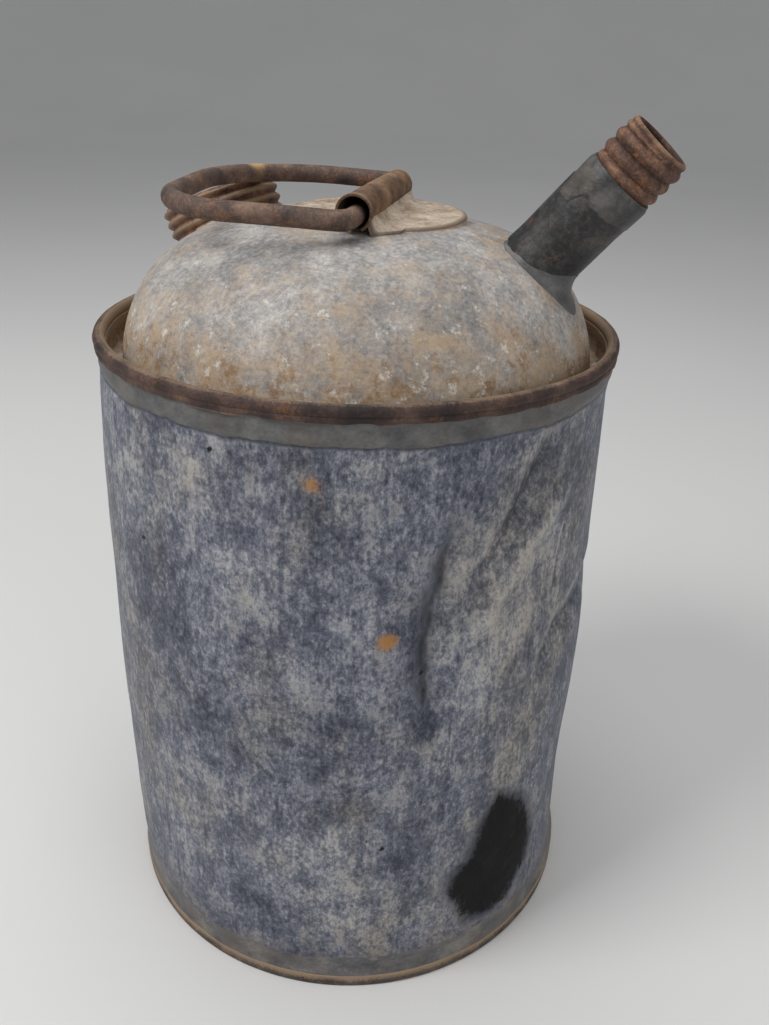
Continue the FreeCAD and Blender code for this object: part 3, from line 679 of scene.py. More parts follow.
def chalky_dome():
    """Grey-white zinc oxide with tan and rusty staining, heavier where water lies."""
    f = Finish("chalky_dome")
    broad = f.noise(26.0, 4.0, 0.6, 0.4, warp=0.4)
    cloud = f.noise(7.0, 6.0, 0.72, 1.3, warp=0.3)
    grain = f.noise(1.3, 5.0, 0.78, 0.8)
    tone = f.mixture((broad, 0.7), (cloud, 1.1), (grain, 1.3))
    colour = f.mottle(tone, (0.1, srgb(118, 114, 111)), (0.42, srgb(152, 149, 147)),
                      (0.62, srgb(181, 178, 175)), (0.9, srgb(226, 222, 217)))
    wet = f.mixture((f.noise(12.0, 7.0, 0.75, 2.3), 2.4), (grain, 1.2), (cloud, 1.0),
                    (f.paint("stain"), 0.55), middle=0.0)
    colour = f.blend(f.band(wet, -0.1, 0.8, 0.70), colour, OXIDE_TAN)
    colour = f.blend(f.band(wet, 0.75, 1.4, 0.6), colour, RUST_BROWN)
    crust = f.mixture((f.noise(7.0, 7.0, 0.8, 3.0), 2.6), (f.paint("stain"), 0.45), middle=0.0)
    colour = f.blend(f.band(crust, 0.36, 0.66, 0.72), colour, srgb(138, 104, 64))
    fleck = f.mixture((f.noise(5.0, 7.0, 0.82, 5.0), 2.8), (f.paint("stain"), 0.15), middle=0.0)
    colour = f.blend(f.band(fleck, 0.28, 0.48, 0.75), colour, srgb(222, 217, 208))
    rough = f.mixture((cloud, 0.5), (grain, 0.3), middle=0.72)
    normal = f.bumps((broad, 0.5), (cloud, 0.35), (grain, 0.25))
    return f.done(colour, rough, normal, 0.03, 0.3)


def cap_tan():
    """Tan plate, stained darker round its edge; on the lug's foot the same edge darkening is a painted shadow."""
    f = Finish("cap_tan")
    cloud = f.noise(8.0, 6.0, 0.7, 0.4)
    grain = f.noise(1.3, 5.0, 0.78, 0.8)
    tone = f.mixture((cloud, 1.5), (grain, 1.3))
    colour = f.mottle(tone, (0.2, srgb(140, 118, 96)), (0.5, srgb(184, 166, 146)),
                      (0.85, srgb(214, 203, 188)))
    # Edge paint: a stain round the cap plate's edge, and a painted shadow at one end of the lug's foot.
    edge = f.mixture((cloud, 1.2), (grain, 0.6), (f.paint("edge"), 1.0), middle=0.0)
    colour = f.blend(f.band(edge, 0.5, 1.15, 0.75), colour, srgb(84, 64, 48))
    rough = f.mixture((cloud, 0.5), (grain, 0.3), middle=0.7)
    normal = f.bumps((cloud, 0.12), (grain, 0.06))
    return f.done(colour, rough, normal, 0.03, 0.3)


def rusty_iron(name, dark, middle, pale, rust_share, worn_share, shift):
    """Rusted sheet or wire in three tones, with orange bloom, pale where it is rubbed and where a highlight is
    painted, and dark where shade is painted.
    """
    f = Finish(name)
    cloud = f.noise(9.0, 5.0, 0.66, shift)
    grain = f.noise(0.7, 5.0, 0.78, shift + 0.6)
    tone = f.mixture((cloud, 1.7), (grain, 0.8))
    colour = f.mottle(tone, (0.2, dark), (0.5, middle), (0.85, pale))
    bloom = f.mixture((f.noise(4.5, 6.0, 0.7, shift + 1.1), 2.0), (grain, 1.0))
    colour = f.blend(f.band(bloom, 0.60, 1.0, rust_share), colour, RUST_ORANGE)
    # The wear paint holds rubbed metal together with painted highlights on tops, crests and edges, and painted
    # shade in grooves and on undersides; the insides of tubes are painted darker.
    rubbed_and_lit = f.mixture((grain, 1.2), (cloud, 0.8), (f.paint("wear_and_painted_light"), 1.0), middle=0.0)
    colour = f.blend(f.band(rubbed_and_lit, 0.25, 1.0, worn_share), colour, TAN_WEAR_AND_HIGHLIGHT)
    colour = f.blend(f.band(rubbed_and_lit, 0.0, -0.7, 0.8), colour, DARK_RUST_AND_SHADE)
    colour = f.blend(f.band(f.paint("bare"), 0.2, 0.6, 0.85), colour, SCUFF_YELLOW)
    rough = f.mixture((cloud, 0.5), (grain, 0.3), middle=0.66)
    normal = f.bumps((cloud, 0.25), (grain, 0.18))
    return f.done(colour, rough, normal, 0.08, 0.35)


def lead_tube():
    """Dark lead-coated sheet with pale scuffs and rust freckles."""
    f = Finish("lead_tube")
    cloud = f.noise(9.0, 6.0, 0.68, 0.3)
    grain = f.noise(1.2, 5.0, 0.75, 0.9)
    tone = f.mixture((cloud, 1.5), (grain, 0.9))
    colour = f.mottle(tone, (0.2, srgb(28, 28, 30)), (0.5, srgb(52, 52, 53)), (0.85, srgb(92, 88, 84)))
    rust = f.mixture((f.noise(5.0, 6.0, 0.7, 2.4), 2.0), (grain, 1.2))
    colour = f.blend(f.band(rust, 0.62, 0.95, 0.7), colour, RUST_BROWN)
    rough = f.mixture((cloud, 0.6), (grain, 0.3), middle=0.5)
    normal = f.bumps((cloud, 0.35), (grain, 0.2))
    return f.done(colour, rough, normal, 0.25, 0.45)


MATERIALS = {
    "zinc": weathered_zinc(),
    "solder": wiped_solder("wiped_solder", srgb(74, 73, 73), srgb(96, 95, 95), srgb(122, 120, 118), 0.2),
    "pale_solder": wiped_solder(
        "pale_solder", srgb(76, 75, 78), srgb(104, 102, 102), srgb(142, 137, 130), 3.1),
    "dark_solder": wiped_solder("dark_solder", srgb(46, 46, 48), srgb(72, 71, 71), srgb(108, 106, 103), 1.4),
    "dome": chalky_dome(),
    "plate": cap_tan(),
    "rim": rusty_iron("rusty_rim", srgb(40, 32, 31), srgb(72, 55, 50), srgb(108, 86, 74), 0.3, 0.6, 0.3),
    "foot": rusty_iron("rusty_foot", srgb(48, 44, 43), srgb(80, 73, 68), srgb(134, 118, 100), 0.5, 0.85, 4.3),
    "wire": rusty_iron("rusty_wire", srgb(58, 54, 53), srgb(98, 79, 70), srgb(140, 114, 98), 0.5, 0.6, 1.9),
    "strap": rusty_iron(
        "rusty_strap", srgb(62, 46, 36), srgb(118, 88, 64), srgb(162, 132, 100), 0.6, 0.7, 5.2),
    "thread": rusty_iron(
        "rusty_thread", srgb(62, 46, 39), srgb(116, 84, 68), srgb(162, 126, 100), 0.55, 0.65, 2.8),
    "lead": lead_tube(),
}


# ---------------------------------------------------------------- body pieces
def body_wall():
    """The rolled wall with its dents, open at both ends."""
    azimuth = turn_columns(440)
    signed = (azimuth + 180.0) % 360.0 - 180.0
    height = row_values(WALL_FOOT, WALL_TOP, 185)
    inner_height = height[::8]
    points, faces = shell(wall_points(signed, height), wall_points(signed, inner_height, -SHEET), True)
    crease, along = crease_distance(signed, height)
    # Painted shade along the crease, spreading further on its left side.
    painted_crease_shade = between(along, 0.0, 0.25, 0.75, 1.0) * np.exp(-np.abs(crease) / np.where(crease > 0, 1.2, 3.6))
    hidden = np.zeros((len(inner_height), azimuth.size))
    paint = {
        "crease": (painted_crease_shade, hidden),
        "fringe": (np.exp(-((band_foot(azimuth) - height) / 1.3) ** 2), hidden),
        # The tone paint adds painted shade and highlight along the folds to the lighter and darker patches.
        "tone": (marks(signed, height, TONE_MARKS) + painted_fold_shading(signed, height), hidden),
        "warm": (marks(signed, height, WARM_MARKS), hidden),
        "rust": (marks(signed, height, RUST_SPOTS), hidden),
        "pinhole": (marks(signed, height, PINHOLES), hidden),
        "soot": (np.clip(inside_distance(signed, height, SOOT), -20.0, 20.0), hidden - 20.0),
    }
    return points, faces, {label: np.concatenate(parts) for label, parts in paint.items()}


def painted_fold_shading(azimuth, height):
    """Painted shade along the valleys of the folds with a painted highlight beside them, and a painted highlight
    along the ridges with painted shade beside them.
    """
    total = 0.0
    for path, rise, width in FOLDS:
        distance, along = path_distance(azimuth, height, path)
        distance = distance + relief(around(azimuth, WALL_RADIUS, height), (1.5, 12.0, 4.4))
        line = np.exp(-(distance / (0.2 * width)) ** 2)
        beside = np.exp(-((distance + 0.6 * width) / (0.35 * width)) ** 2)
        strength = math.copysign(1.0, rise) * between(along, 0.0, 0.25, 0.8, 1.0)
        total = total + strength * (1.1 * line - 0.7 * beside)
    return total


def band_foot(azimuth):
    """Height of the ragged lower edge of the solder under the rim."""
    place = around(azimuth, NECK_RADIUS, 0.0)
    side = np.cos(np.radians(azimuth - RIM_SOLDER_SAG_AZIMUTH))
    ragged = relief(place, (0.8, 16.0, 2.0), (0.5, 4.0, 7.0), (0.25, 1.5, 4.0))
    return RIM_TOP - RIM_SOLDER_DEPTH - RIM_SOLDER_SAG * side + ragged


def side_seam():
    """Solder down the lap at the back of the wall."""
    across = column_values(-1.0, 1.0, 13)
    height = row_values(WALL_PROFILE[0][0], SEAM_TOP, 200)
    middle = around(SEAM_AZIMUTH, WALL_RADIUS, height)
    azimuth = SEAM_AZIMUTH + across * (SEAM_HALF_ANGLE + relief(middle, (0.5, 9.0, 6.0)))
    uneven = 1.0 + relief(around(azimuth, WALL_RADIUS, height), (0.35, 4.0, 2.0))
    return wall_skin(azimuth, height, 0.55 * (1.0 - across ** 2) * uneven, False)


def rim_bead():
    """Hoop rolled over the wire: inner fold, bead and outer fold."""
    bead_radius, bead_height = RIM_RADIUS - BEAD_RADIUS, RIM_TOP - BEAD_RADIUS
    turn = np.radians(np.linspace(215.0, -40.0, 26))
    bead = np.stack([np.cos(turn), np.sin(turn)], axis=-1) * BEAD_RADIUS + (bead_radius, bead_height)
    inner_face = NECK_RADIUS - 2 * SHEET
    under = RIM_TOP - 3.6
    inside = rounded_outline([
        (inner_face, under, 0), (inner_face, INNER_FOLD_FOOT, 0.2),
        (inner_face - SHEET, INNER_FOLD_FOOT, 0.3), (inner_face - SHEET, under + 0.6, 0)])
    outside = rounded_outline([
        (FOLD_RADIUS, bead_height - 1.5, 0), (FOLD_RADIUS, FOLD_FOOT, 0.5),
        (NECK_RADIUS + FOLD_GAP, FOLD_FOOT, 0), (NECK_RADIUS + FOLD_GAP, under, 0)])
    outline = np.concatenate([inside, bead, outside])

    def shift(azimuth, radius, height):
        place = around(azimuth, NECK_RADIUS, 0.0)
        fold = smooth(-height, -FOLD_FOOT - 1.5, -FOLD_FOOT) * (radius > NECK_RADIUS + 0.5)
        outward = relief(place, (0.35, 60.0, 8.0), (0.12, 7.0, 1.0)) + 0 * height
        upward = relief(place, (0.45, 75.0, 3.0), (0.10, 6.0, 5.0)) + 0 * height
        return outward, upward - fold * relief(place, (0.7, 5.0, 9.0))

    points, faces = lathe(outline, 480, shift)
    # Pale bead top and lower fold edge: rubbed metal and a painted highlight. The inner side is a rust stain
    # painted paler to lift the shade in the gutter.
    top = smooth(points[..., 2], RIM_TOP - 0.8, RIM_TOP) * 0.8
    ragged = smooth(points[..., 2], FOLD_FOOT + 0.6, FOLD_FOOT - 0.2) * 0.8
    inner_side = smooth(np.hypot(points[..., 0], points[..., 1]), NECK_RADIUS - 0.6, NECK_RADIUS - 1.6)
    return points, faces, {"wear_and_painted_light": 0.8 * top + ragged + 1.4 * inner_side}


def rim_solder():
    """Solder wiped under the rim, with a ragged lower edge."""
    azimuth = turn_columns(480)
    foot = band_foot(azimuth)
    share = row_values(0.0, 1.0, 16) ** 1.3
    height = foot + (FOLD_FOOT + 0.3 - foot) * share
    skin = 0.12 + 0.33 * smooth(share, 0.0, 0.35)
    uneven = relief(around(azimuth, NECK_RADIUS, height), (0.12, 6.0, 3.0))
    return wall_skin(azimuth, height, skin + uneven)


def foot_pan():
    """Recessed floor whose edge is folded under the wall and up outside it."""
    inner = WALL_RADIUS - SHEET
    outer = WALL_RADIUS + FOLD_GAP
    under = SHEET - FOLD_GAP
    outline = rounded_outline([
        (0.0, PAN_HEIGHT, 0), (inner - FOLD_GAP, PAN_HEIGHT, 1.2), (inner - FOLD_GAP, under, 0),
        (outer, under, 0), (outer, FOOT_HEIGHT, 0),
        (FOOT_RADIUS, FOOT_HEIGHT + 0.2, 0.45), (FOOT_RADIUS, 0.0, 0.7), (inner - SHEET, 0.0, 0.5),
        (inner - SHEET, PAN_HEIGHT - SHEET, 0.4), (0.0, PAN_HEIGHT - SHEET, 0)])
    outline = divided(outline, 4.0)

    def shift(azimuth, radius, height):
        place = around(azimuth, FOOT_RADIUS, 0.0)
        free = smooth(radius, WALL_RADIUS + 0.2, FOOT_RADIUS) * smooth(height, 0.1, 2.0)
        outward = free * relief(place, (0.30, 28.0, 1.0), (0.14, 5.0, 4.0))
        upward = free * relief(place, (0.35, 35.0, 6.0), (0.15, 6.0, 2.0))
        pan = (1.0 - smooth(radius, 55.0, 76.0)) * relief(around(azimuth, radius, 0.0), (0.5, 30.0, 8.0))
        return outward, upward + pan

    points, faces = lathe(outline, 360, shift, closed=False)
    spread = np.hypot(points[..., 0], points[..., 1])
    outer_side = smooth(spread, WALL_RADIUS + 0.2, WALL_RADIUS + 0.5)
    # Pale band on the foot's upper outer side: rubbed metal and a painted highlight.
    wear_and_painted_light = smooth(points[..., 2], FOOT_HEIGHT - 3.6, FOOT_HEIGHT - 0.8) * outer_side
    return points, faces, {"wear_and_painted_light": wear_and_painted_light}


def base_solder():
    """Hollow fillet of solder between the wall and the foot fold."""
    azimuth = turn_columns(400)
    top = BASE_SOLDER_TOP + relief(around(azimuth, WALL_RADIUS, 0.0), (1.4, 16.0, 5.0), (0.7, 4.0, 8.0))
    share = row_values(0.0, 1.0, 18)
    height = FOOT_HEIGHT - 0.1 + (top - FOOT_HEIGHT) * share
    skin = 0.03 + 0.80 * (1.0 - share) ** 3
    uneven = relief(around(azimuth, WALL_RADIUS, height), (0.09, 5.0, 2.0))
    return wall_skin(azimuth, height, skin + uneven)


# ---------------------------------------------------------------- domed top
def pipe_cutter(place, radius):
    """A plug along a pipe, used to cut its hole in the dome."""
    radii = np.array([0.0, radius, radius, 0.0])[:, None]
    reach = np.array([-16.0, -16.0, 16.0, 16.0])[:, None]
    plug = out_of(place, around(turn_columns(64), radii, reach))
    return make_object("pipe_cutter", plug, grid_faces(4, 64, False, True))


def cut_away(piece, cutter):
    """Cuts a plug out of a piece and throws the plug away."""
    cut = piece.modifiers.new("cut", "BOOLEAN")
    cut.operation = "DIFFERENCE"
    cut.solver = "EXACT"
    cut.object = cutter
    graph = bpy.context.evaluated_depsgraph_get()
    result = bpy.data.meshes.new_from_object(piece.evaluated_get(graph))
    piece.modifiers.remove(cut)
    piece.data = result
    bpy.data.objects.remove(cutter)


def dome():
    """Pressed dome, gutter and flange, before the filling and pouring holes are cut."""
    slopes = np.linspace(SHOULDER_SLOPE, math.pi / 2, 46)
    shoulder = SHOULDER_CENTRE + SHOULDER_RADIUS * np.sin(slopes)
    radii = np.concatenate([np.linspace(0.0, CROWN_EDGE, 36), shoulder[1:]])[:, None]
    azimuth = turn_columns(300)
    place = around(azimuth, radii, 0.0)
    outside = around(azimuth, radii, dome_height(place[..., 0], place[..., 1]))
    inset = radii - SHEET * radii / DOME_RADIUS
    inside = around(azimuth, inset, outside[..., 2] - SHEET * (1.05 - 0.9 * (radii / DOME_RADIUS) ** 6))
    flange_out = NECK_RADIUS - SHEET
    flange_in = flange_out - SHEET
    gutter = rounded_outline([
        (DOME_RADIUS, GUTTER_HEIGHT, 0), (flange_in, GUTTER_HEIGHT, 0.8), (flange_in, WALL_TOP, 0),
        (flange_out, WALL_TOP, 0), (flange_out, GUTTER_HEIGHT - SHEET, 0.8),
        (DOME_RADIUS - SHEET, GUTTER_HEIGHT - SHEET, 0)])
    gutter = divided(gutter, 2.0)[1:]
    trough = around(azimuth, gutter[:, :1], gutter[:, 1:])
    points = np.concatenate([outside, trough, inside[::-1]])
    return points, grid_faces(len(points), points.shape[1], False, True), {"stain": dome_stain(points)}


def dome_stain(points):
    """How far rust has stained the dome: most in the gutter, and near the pipes and the plate's edge."""
    def away(middle):
        return np.linalg.norm(points[..., :2] - middle[:2], axis=-1)

    outward = np.hypot(points[..., 0], points[..., 1])
    near_gutter = 0.35 * smooth(outward, 38.0, 62.0) + 0.6 * smooth(outward, 62.0, 73.0)
    near_spout = 0.75 * np.exp(-(away(SPOUT_PLACE[0]) / 22.0) ** 2)
    near_filler = 0.55 * np.exp(-(away(FILLER_PLACE[0]) / 30.0) ** 2)
    near_plate = 0.45 * np.exp(-((away(PLATE_MIDDLE) - PLATE_RADIUS) / 6.0) ** 2)
    return np.maximum.reduce([near_gutter, near_spout, near_filler, near_plate])


def cap_disc():
    """Round plate on the crown, whose edge comes down to the dome."""
    azimuth = turn_columns(180)
    share = np.concatenate([np.linspace(0.0, 0.96, 30), [0.975, 0.988, 0.996, 1.0]])[:, None]
    drop = np.concatenate([np.linspace(0.0, 0.5, 30) ** 6, [0.10, 0.22, 0.4, 0.65]])[:, None]
    radius = share * (PLATE_RADIUS + relief(around(azimuth, 1.0, 0.0), (0.35, 0.7, 3.0), (0.12, 0.15, 6.0)))
    bumps = relief(around(azimuth, radius, 0.0), (0.18, 9.0, 4.0))
    crown = PLATE_THICKNESS - drop + PLATE_CROWN * (1.0 - share ** 2) + bumps
    seat = crown_height(SEAT_RADIUS)
    place = local_frame(np.array([PLATE_MIDDLE[0], PLATE_MIDDLE[1], seat]), ACROSS, PLATE_NORMAL)
    top = out_of(place, around(azimuth, radius, crown))
    under = np.array(top)
    under[..., 2] = dome_height(top[..., 0], top[..., 1]) - PLATE_SUNK
    under[..., 2] = np.minimum(under[..., 2], top[..., 2] - 0.3)
    points, faces = shell(top, under, True)
    faces = faces[:-azimuth.size]
    rim = np.broadcast_to(smooth(share, 0.86, 1.0), radius.shape)
    return points, faces, {"edge": two_sided(rim, rim)}


def in_lug(across, along, up):
    """Points from distances across the hinge, along it and away from the plate."""
    return out_of(LUG_PLACE, stacked(across, along, up))


def lug():
    """Strap rolled into a tube that widens a little towards its near end."""
    turn = np.radians(row_values(-62.0, 262.0, 90))
    along = column_values(-0.5, 0.5, 60)
    swell = 0.35 * smooth(-along, 0.40, 0.5) - 0.25 * smooth(along, 0.1, 0.5)
    sheets = []
    for radius in (LUG_RADIUS, LUG_RADIUS - SHEET):
        ring = stacked(radius * np.cos(turn), along * LUG_LENGTH, radius * np.sin(turn))
        bent = radius + swell + relief(ring, (0.14, 9.0, 2.0), (0.05, 2.5, 5.0))
        uneven = relief(ring * (1, 0, 1), (0.7, 5.0, 7.0)) * np.abs(2 * along) ** 6 * np.sign(along)
        length = along * LUG_LENGTH + uneven
        sheets.append(in_lug(bent * np.cos(turn), length, bent * np.sin(turn)))
    points, faces = shell(sheets[0], sheets[1], False)
    # Worn ends, with a painted highlight on the tube's top and painted shade on its underside; the inside is
    # painted darker.
    ends = 0.6 * smooth(np.abs(along), 0.45, 0.5)
    rubbed_and_lit = np.broadcast_to(ends + 0.6 * np.sin(turn) - 0.1, sheets[0].shape[:2])
    return points, faces, {"wear_and_painted_light": two_sided(rubbed_and_lit, -0.7)}


def lug_foot():
    """The strap's turned-out foot, which runs from the tube down to the plate in a hollow curve."""
    along = column_values(-0.5, 0.5, 60)
    share = row_values(0.0, 1.0, 22)
    uneven = relief(stacked(0.0, along * LUG_LENGTH, 0.0), (0.5, 9.0, 4.0))
    spread = (LUG_FOOT_REACH - LUG_RADIUS + uneven) * between(along, -0.5, -0.36, 0.42, 0.5)
    across = curve(0.93 * LUG_RADIUS, LUG_RADIUS + 0.5, LUG_RADIUS + 1.0 + spread, share)
    up = curve(-0.3 * LUG_RADIUS, -0.9 * LUG_RADIUS, -LUG_RADIUS - 0.1, share)
    length = along * (LUG_LENGTH - 0.6)
    wavy = relief(stacked(across, length, up), (0.12, 5.0, 3.0))
    outer = in_lug(across, length, up + wavy)
    lowest = -LUG_RADIUS - LUG_FOOT_THICKNESS
    inner = in_lug(across - LUG_FOOT_THICKNESS, length, np.maximum(up - LUG_FOOT_THICKNESS, lowest))
    points, faces = shell(outer, inner, False)
    # Painted shadow at the end of the foot where along is -0.5, under the tube's mouth; the edge paint carries it.
    shade = np.broadcast_to(1.0 - smooth(along, -0.5, -0.42), outer.shape[:2])
    return points, faces, {"edge": two_sided(shade, shade)}


def lug_bead():
    """Solder in the corner behind the lug's tube."""
    along = column_values(-0.46, 0.46, 60)
    share = row_values(0.0, 1.0, 9)
    length = along * LUG_LENGTH
    reach = LUG_RADIUS + 0.9 + relief(stacked(share * 3.0, length, 0.0), (0.5, 4.0, 2.0))
    edge = np.radians(LUG_BEAD_TOP)
    across = curve(-reach, -0.62 * LUG_RADIUS, LUG_RADIUS * math.cos(edge), share)
    up = curve(-LUG_RADIUS - 0.25, -0.9 * LUG_RADIUS, LUG_RADIUS * math.sin(edge), share)
    return shell(in_lug(across, length, up), in_lug(across + 0.5, length, up - 0.2), False)


# ---------------------------------------------------------------- bail
def bail_path():
    """Centre line of the bail at rest, from one end inside the lug to the other."""
    def place(along, away):
        return in_lug(-away * math.cos(BAIL_RISE), along, away * math.sin(BAIL_RISE) - HINGE_DROP)

    corners = [(place(-3.0, 0.0), 0.0)] + [(place(along, away), bend) for along, away, bend in BAIL_CORNERS]
    corners.append((place(3.0, 0.0), 0.0))
    points = []
    for index, (here, bend) in enumerate(corners):
        if bend == 0.0:
            points.append(here)
            continue
        back, ahead, half_angle = corner(corners[index - 1][0], here, corners[index + 1][0])
        centre = here + unit(back + ahead) * bend / math.sin(half_angle)
        first = here + back * bend / math.tan(half_angle) - centre
        last = here + ahead * bend / math.tan(half_angle) - centre
        sweep = math.acos(np.clip(first @ last / bend ** 2, -1.0, 1.0))
        for share in np.linspace(0.0, 1.0, 16):
            weights = math.sin((1 - share) * sweep), math.sin(share * sweep)
            points.append(centre + (first * weights[0] + last * weights[1]) / math.sin(sweep))
    return divided(np.array(points), 1.0)


def bail():
    """Wire bail, a little bent and swollen with rust."""
    path = bail_path()
    free = between(np.arange(len(path)), 8, 40, len(path) - 40, len(path) - 8)
    for axis, seed in ((1, 2.0), (2, 7.0)):
        path[:, axis] += free * relief(path, (0.5, 38.0, seed))
    tangent = np.gradient(path, axis=0)
    tangent /= np.linalg.norm(tangent, axis=1)[:, None]
    side = np.cross(tangent, PLATE_NORMAL)
    side /= np.linalg.norm(side, axis=1)[:, None]
    over = np.cross(side, tangent)
    turn = np.radians(turn_columns(28))[..., None]
    ring = np.cos(turn) * side[:, None] + np.sin(turn) * over[:, None]
    surface = path[:, None] + ring * BAIL_WIRE
    radius = BAIL_WIRE * (1.0 + relief(surface, (0.012, 5.0, 3.0), (0.008, 1.6, 8.0)))
    surface = path[:, None] + ring * radius[..., None]
    tips = [path[:1, None] + 0 * surface[:1], path[-1:, None] + 0 * surface[:1]]
    points = np.concatenate([tips[0], surface, tips[1]])
    along, away, size = BAIL_SCUFF
    bare = np.exp(-(np.linalg.norm(surface - in_lug(-away, along, BAIL_WIRE), axis=-1) / size) ** 2)
    bare = np.concatenate([bare[:1], bare, bare[-1:]])
    # Painted highlight along the wire's side away from the plate and painted shade along its underside.
    wear_and_painted_light = np.broadcast_to(0.35 * np.sin(turn[..., 0]) + 0.1, surface.shape[:2])
    wear_and_painted_light = np.concatenate([wear_and_painted_light[:1], wear_and_painted_light, wear_and_painted_light[-1:]])
    return points, grid_faces(len(points), points.shape[1], False, True), {"wear_and_painted_light": wear_and_painted_light, "bare": bare}


# ---------------------------------------------------------------- filler neck and spout
def screw(turn, reach, start, thread, roundness):
    """Share of the ridge's height over its groove along a rolled screw thread.

    A roundness of 2 gives an even wave, and a smaller one gives wide ridges with narrow grooves.
    """
    pitch, _, count = thread
    turns = (reach - start) / pitch
    ridge = np.abs(np.sin(math.pi * (turns - turn / 360.0))) ** roundness
    return ridge * between(turns, -0.2, 0.4, count - 0.25, count + 0.1)


def filler():
    """Short screw neck over the filling hole, with a rolled lip."""
    pitch, depth, count = FILLER_THREAD
    turn = turn_columns(220)
    valley = FILLER_RIDGE - depth
    foot = pipe_foot(FILLER_PLACE, valley, turn) - 1.2
    share = row_values(0.0, 1.0, 70)
    reach = foot + (FILLER_HEIGHT - foot) * share
    start = FILLER_HEIGHT - (count + 0.15) * pitch
    place = around(turn, valley, reach)
    bent = relief(place, (0.16, 17.0, 2.0), (0.07, 4.0, 6.0))
    taper = -0.7 * (1.0 - smooth(reach, -6.0, 8.0))
    lip = smooth(reach, FILLER_HEIGHT - 0.7, FILLER_HEIGHT)
    ridge = screw(turn, reach, start, FILLER_THREAD, 1.5)
    outer_radius = valley + depth * ridge + bent + taper - 0.25 * lip ** 2
    inner_radius = outer_radius - 0.7 + 0.3 * lip ** 2
    lifted = reach + lip * relief(place, (0.12, 6.0, 9.0))
    points, faces = pipe_shell(FILLER_PLACE, turn, outer_radius, inner_radius, lifted)
    # Paler thread ridges and lip: rubbed metal and a painted highlight; the inside is painted darker.
    wear_and_painted_light = 0.9 * ridge + 0.6 * lip + 0.1
    return points, faces, {"wear_and_painted_light": two_sided(wear_and_painted_light, -0.6)}


def solder_skirt(place, radius, climb, spread):
    """Hollow bead of solder from a pipe's wall on to the dome.

    climb(turn) and spread(turn) give its size up the pipe and out on the dome.
    """
    turn = turn_columns(120)
    foot = pipe_foot(place, radius, turn)
    share = row_values(0.0, 1.0, 12)[..., None]

    def beside(out, height):
        return out_of(place, around(turn, radius + out, height))

    far = beside(spread(turn), foot)
    far[..., 2] = dome_height(far[..., 0], far[..., 1]) + 0.12
    outer = curve(beside(0.12, foot + climb(turn)), beside(0.5, foot + 0.4), far, share)
    outer[..., 2] += relief(outer, (0.18, 3.0, 4.0))
    below = far - np.array([0.0, 0.0, 0.6])
    inner = curve(beside(-0.5, foot + climb(turn)), beside(-0.3, foot - 0.8), below, share)
    return shell(outer, inner, True)


def filler_skirt():
    """Uneven bead round the filler neck."""
    def climb(turn):
        return 1.6 + relief(around(turn, 1.0, 0.0), (0.6, 0.5, 3.0))

    def spread(turn):
        return 3.0 + relief(around(turn, 1.0, 0.0), (1.2, 0.6, 7.0), (0.5, 0.2, 2.0))

    return solder_skirt(FILLER_PLACE, FILLER_RIDGE - 1.6, climb, spread)


def spout_skirt():
    """Bead round the foot of the spout, heaped on its lower side."""
    def lower(turn):
        return (0.5 + 0.5 * np.cos(np.radians(turn + 12.0))) ** 5

    def climb(turn):
        return 1.5 + 4.5 * lower(turn) + relief(around(turn, 1.0, 0.0), (0.4, 0.5, 5.0))

    def spread(turn):
        return 1.3 + 4.6 * lower(turn) + relief(around(turn, 1.0, 0.0), (0.5, 0.4, 8.0))

    return solder_skirt(SPOUT_PLACE, SPOUT_RADIUS, climb, spread)


def spout_wall(turn, reach):
    """Radius of the spout's bent and scuffed tube."""
    place = around(turn, SPOUT_RADIUS, reach)
    drawn = smooth(reach, DRAW_START, FERRULE_FOOT) * (SPOUT_RADIUS - FERRULE_BORE - SHEET)
    flare = 0.5 * (1.0 - smooth(reach, -6.0, 6.0))
    return SPOUT_RADIUS + relief(place, (0.14, 12.0, 3.0), (0.05, 3.0, 6.0)) + flare - drawn


def spout():
    """Soldered sheet tube from the dome to its drawn-in tip."""
    turn = turn_columns(120)
    foot = pipe_foot(SPOUT_PLACE, SPOUT_RADIUS, turn) - 1.0
    share = np.concatenate([np.linspace(0.0, 0.62, 40), np.linspace(0.63, 1.0, 20)])[:, None]
    end = SPOUT_LENGTH - 1.0
    reach = foot + (end - foot) * share
    radius = spout_wall(turn, reach)
    return pipe_shell(SPOUT_PLACE, turn, radius, radius - SHEET, reach)


def spout_patch(turn, reach, skin):
    """Points on the spout's tube, raised by a skin of solder or a lap of sheet."""
    return out_of(SPOUT_PLACE, around(turn, spout_wall(turn, reach) + skin, reach))


def spout_lap():
    """Raised lap along the top of the tube, with an uneven edge."""
    across = column_values(-1.0, 1.0, 17)
    start = pipe_foot(SPOUT_PLACE, SPOUT_RADIUS, np.array([[180.0]])) + 1.5
    end = FERRULE_FOOT - COLLAR_LENGTH + 1.0
    reach = start + (end - start) * row_values(0.0, 1.0, 30)
    width = 13.0 + relief(stacked(reach, 0.0, across), (2.0, 5.0, 2.0))
    turn = 180.0 + across * width
    skin = 0.5 * (1.0 - np.abs(across) ** 5) + 0.05
    return shell(spout_patch(turn, reach, skin), spout_patch(turn, reach, -SKIN_SUNK), False)


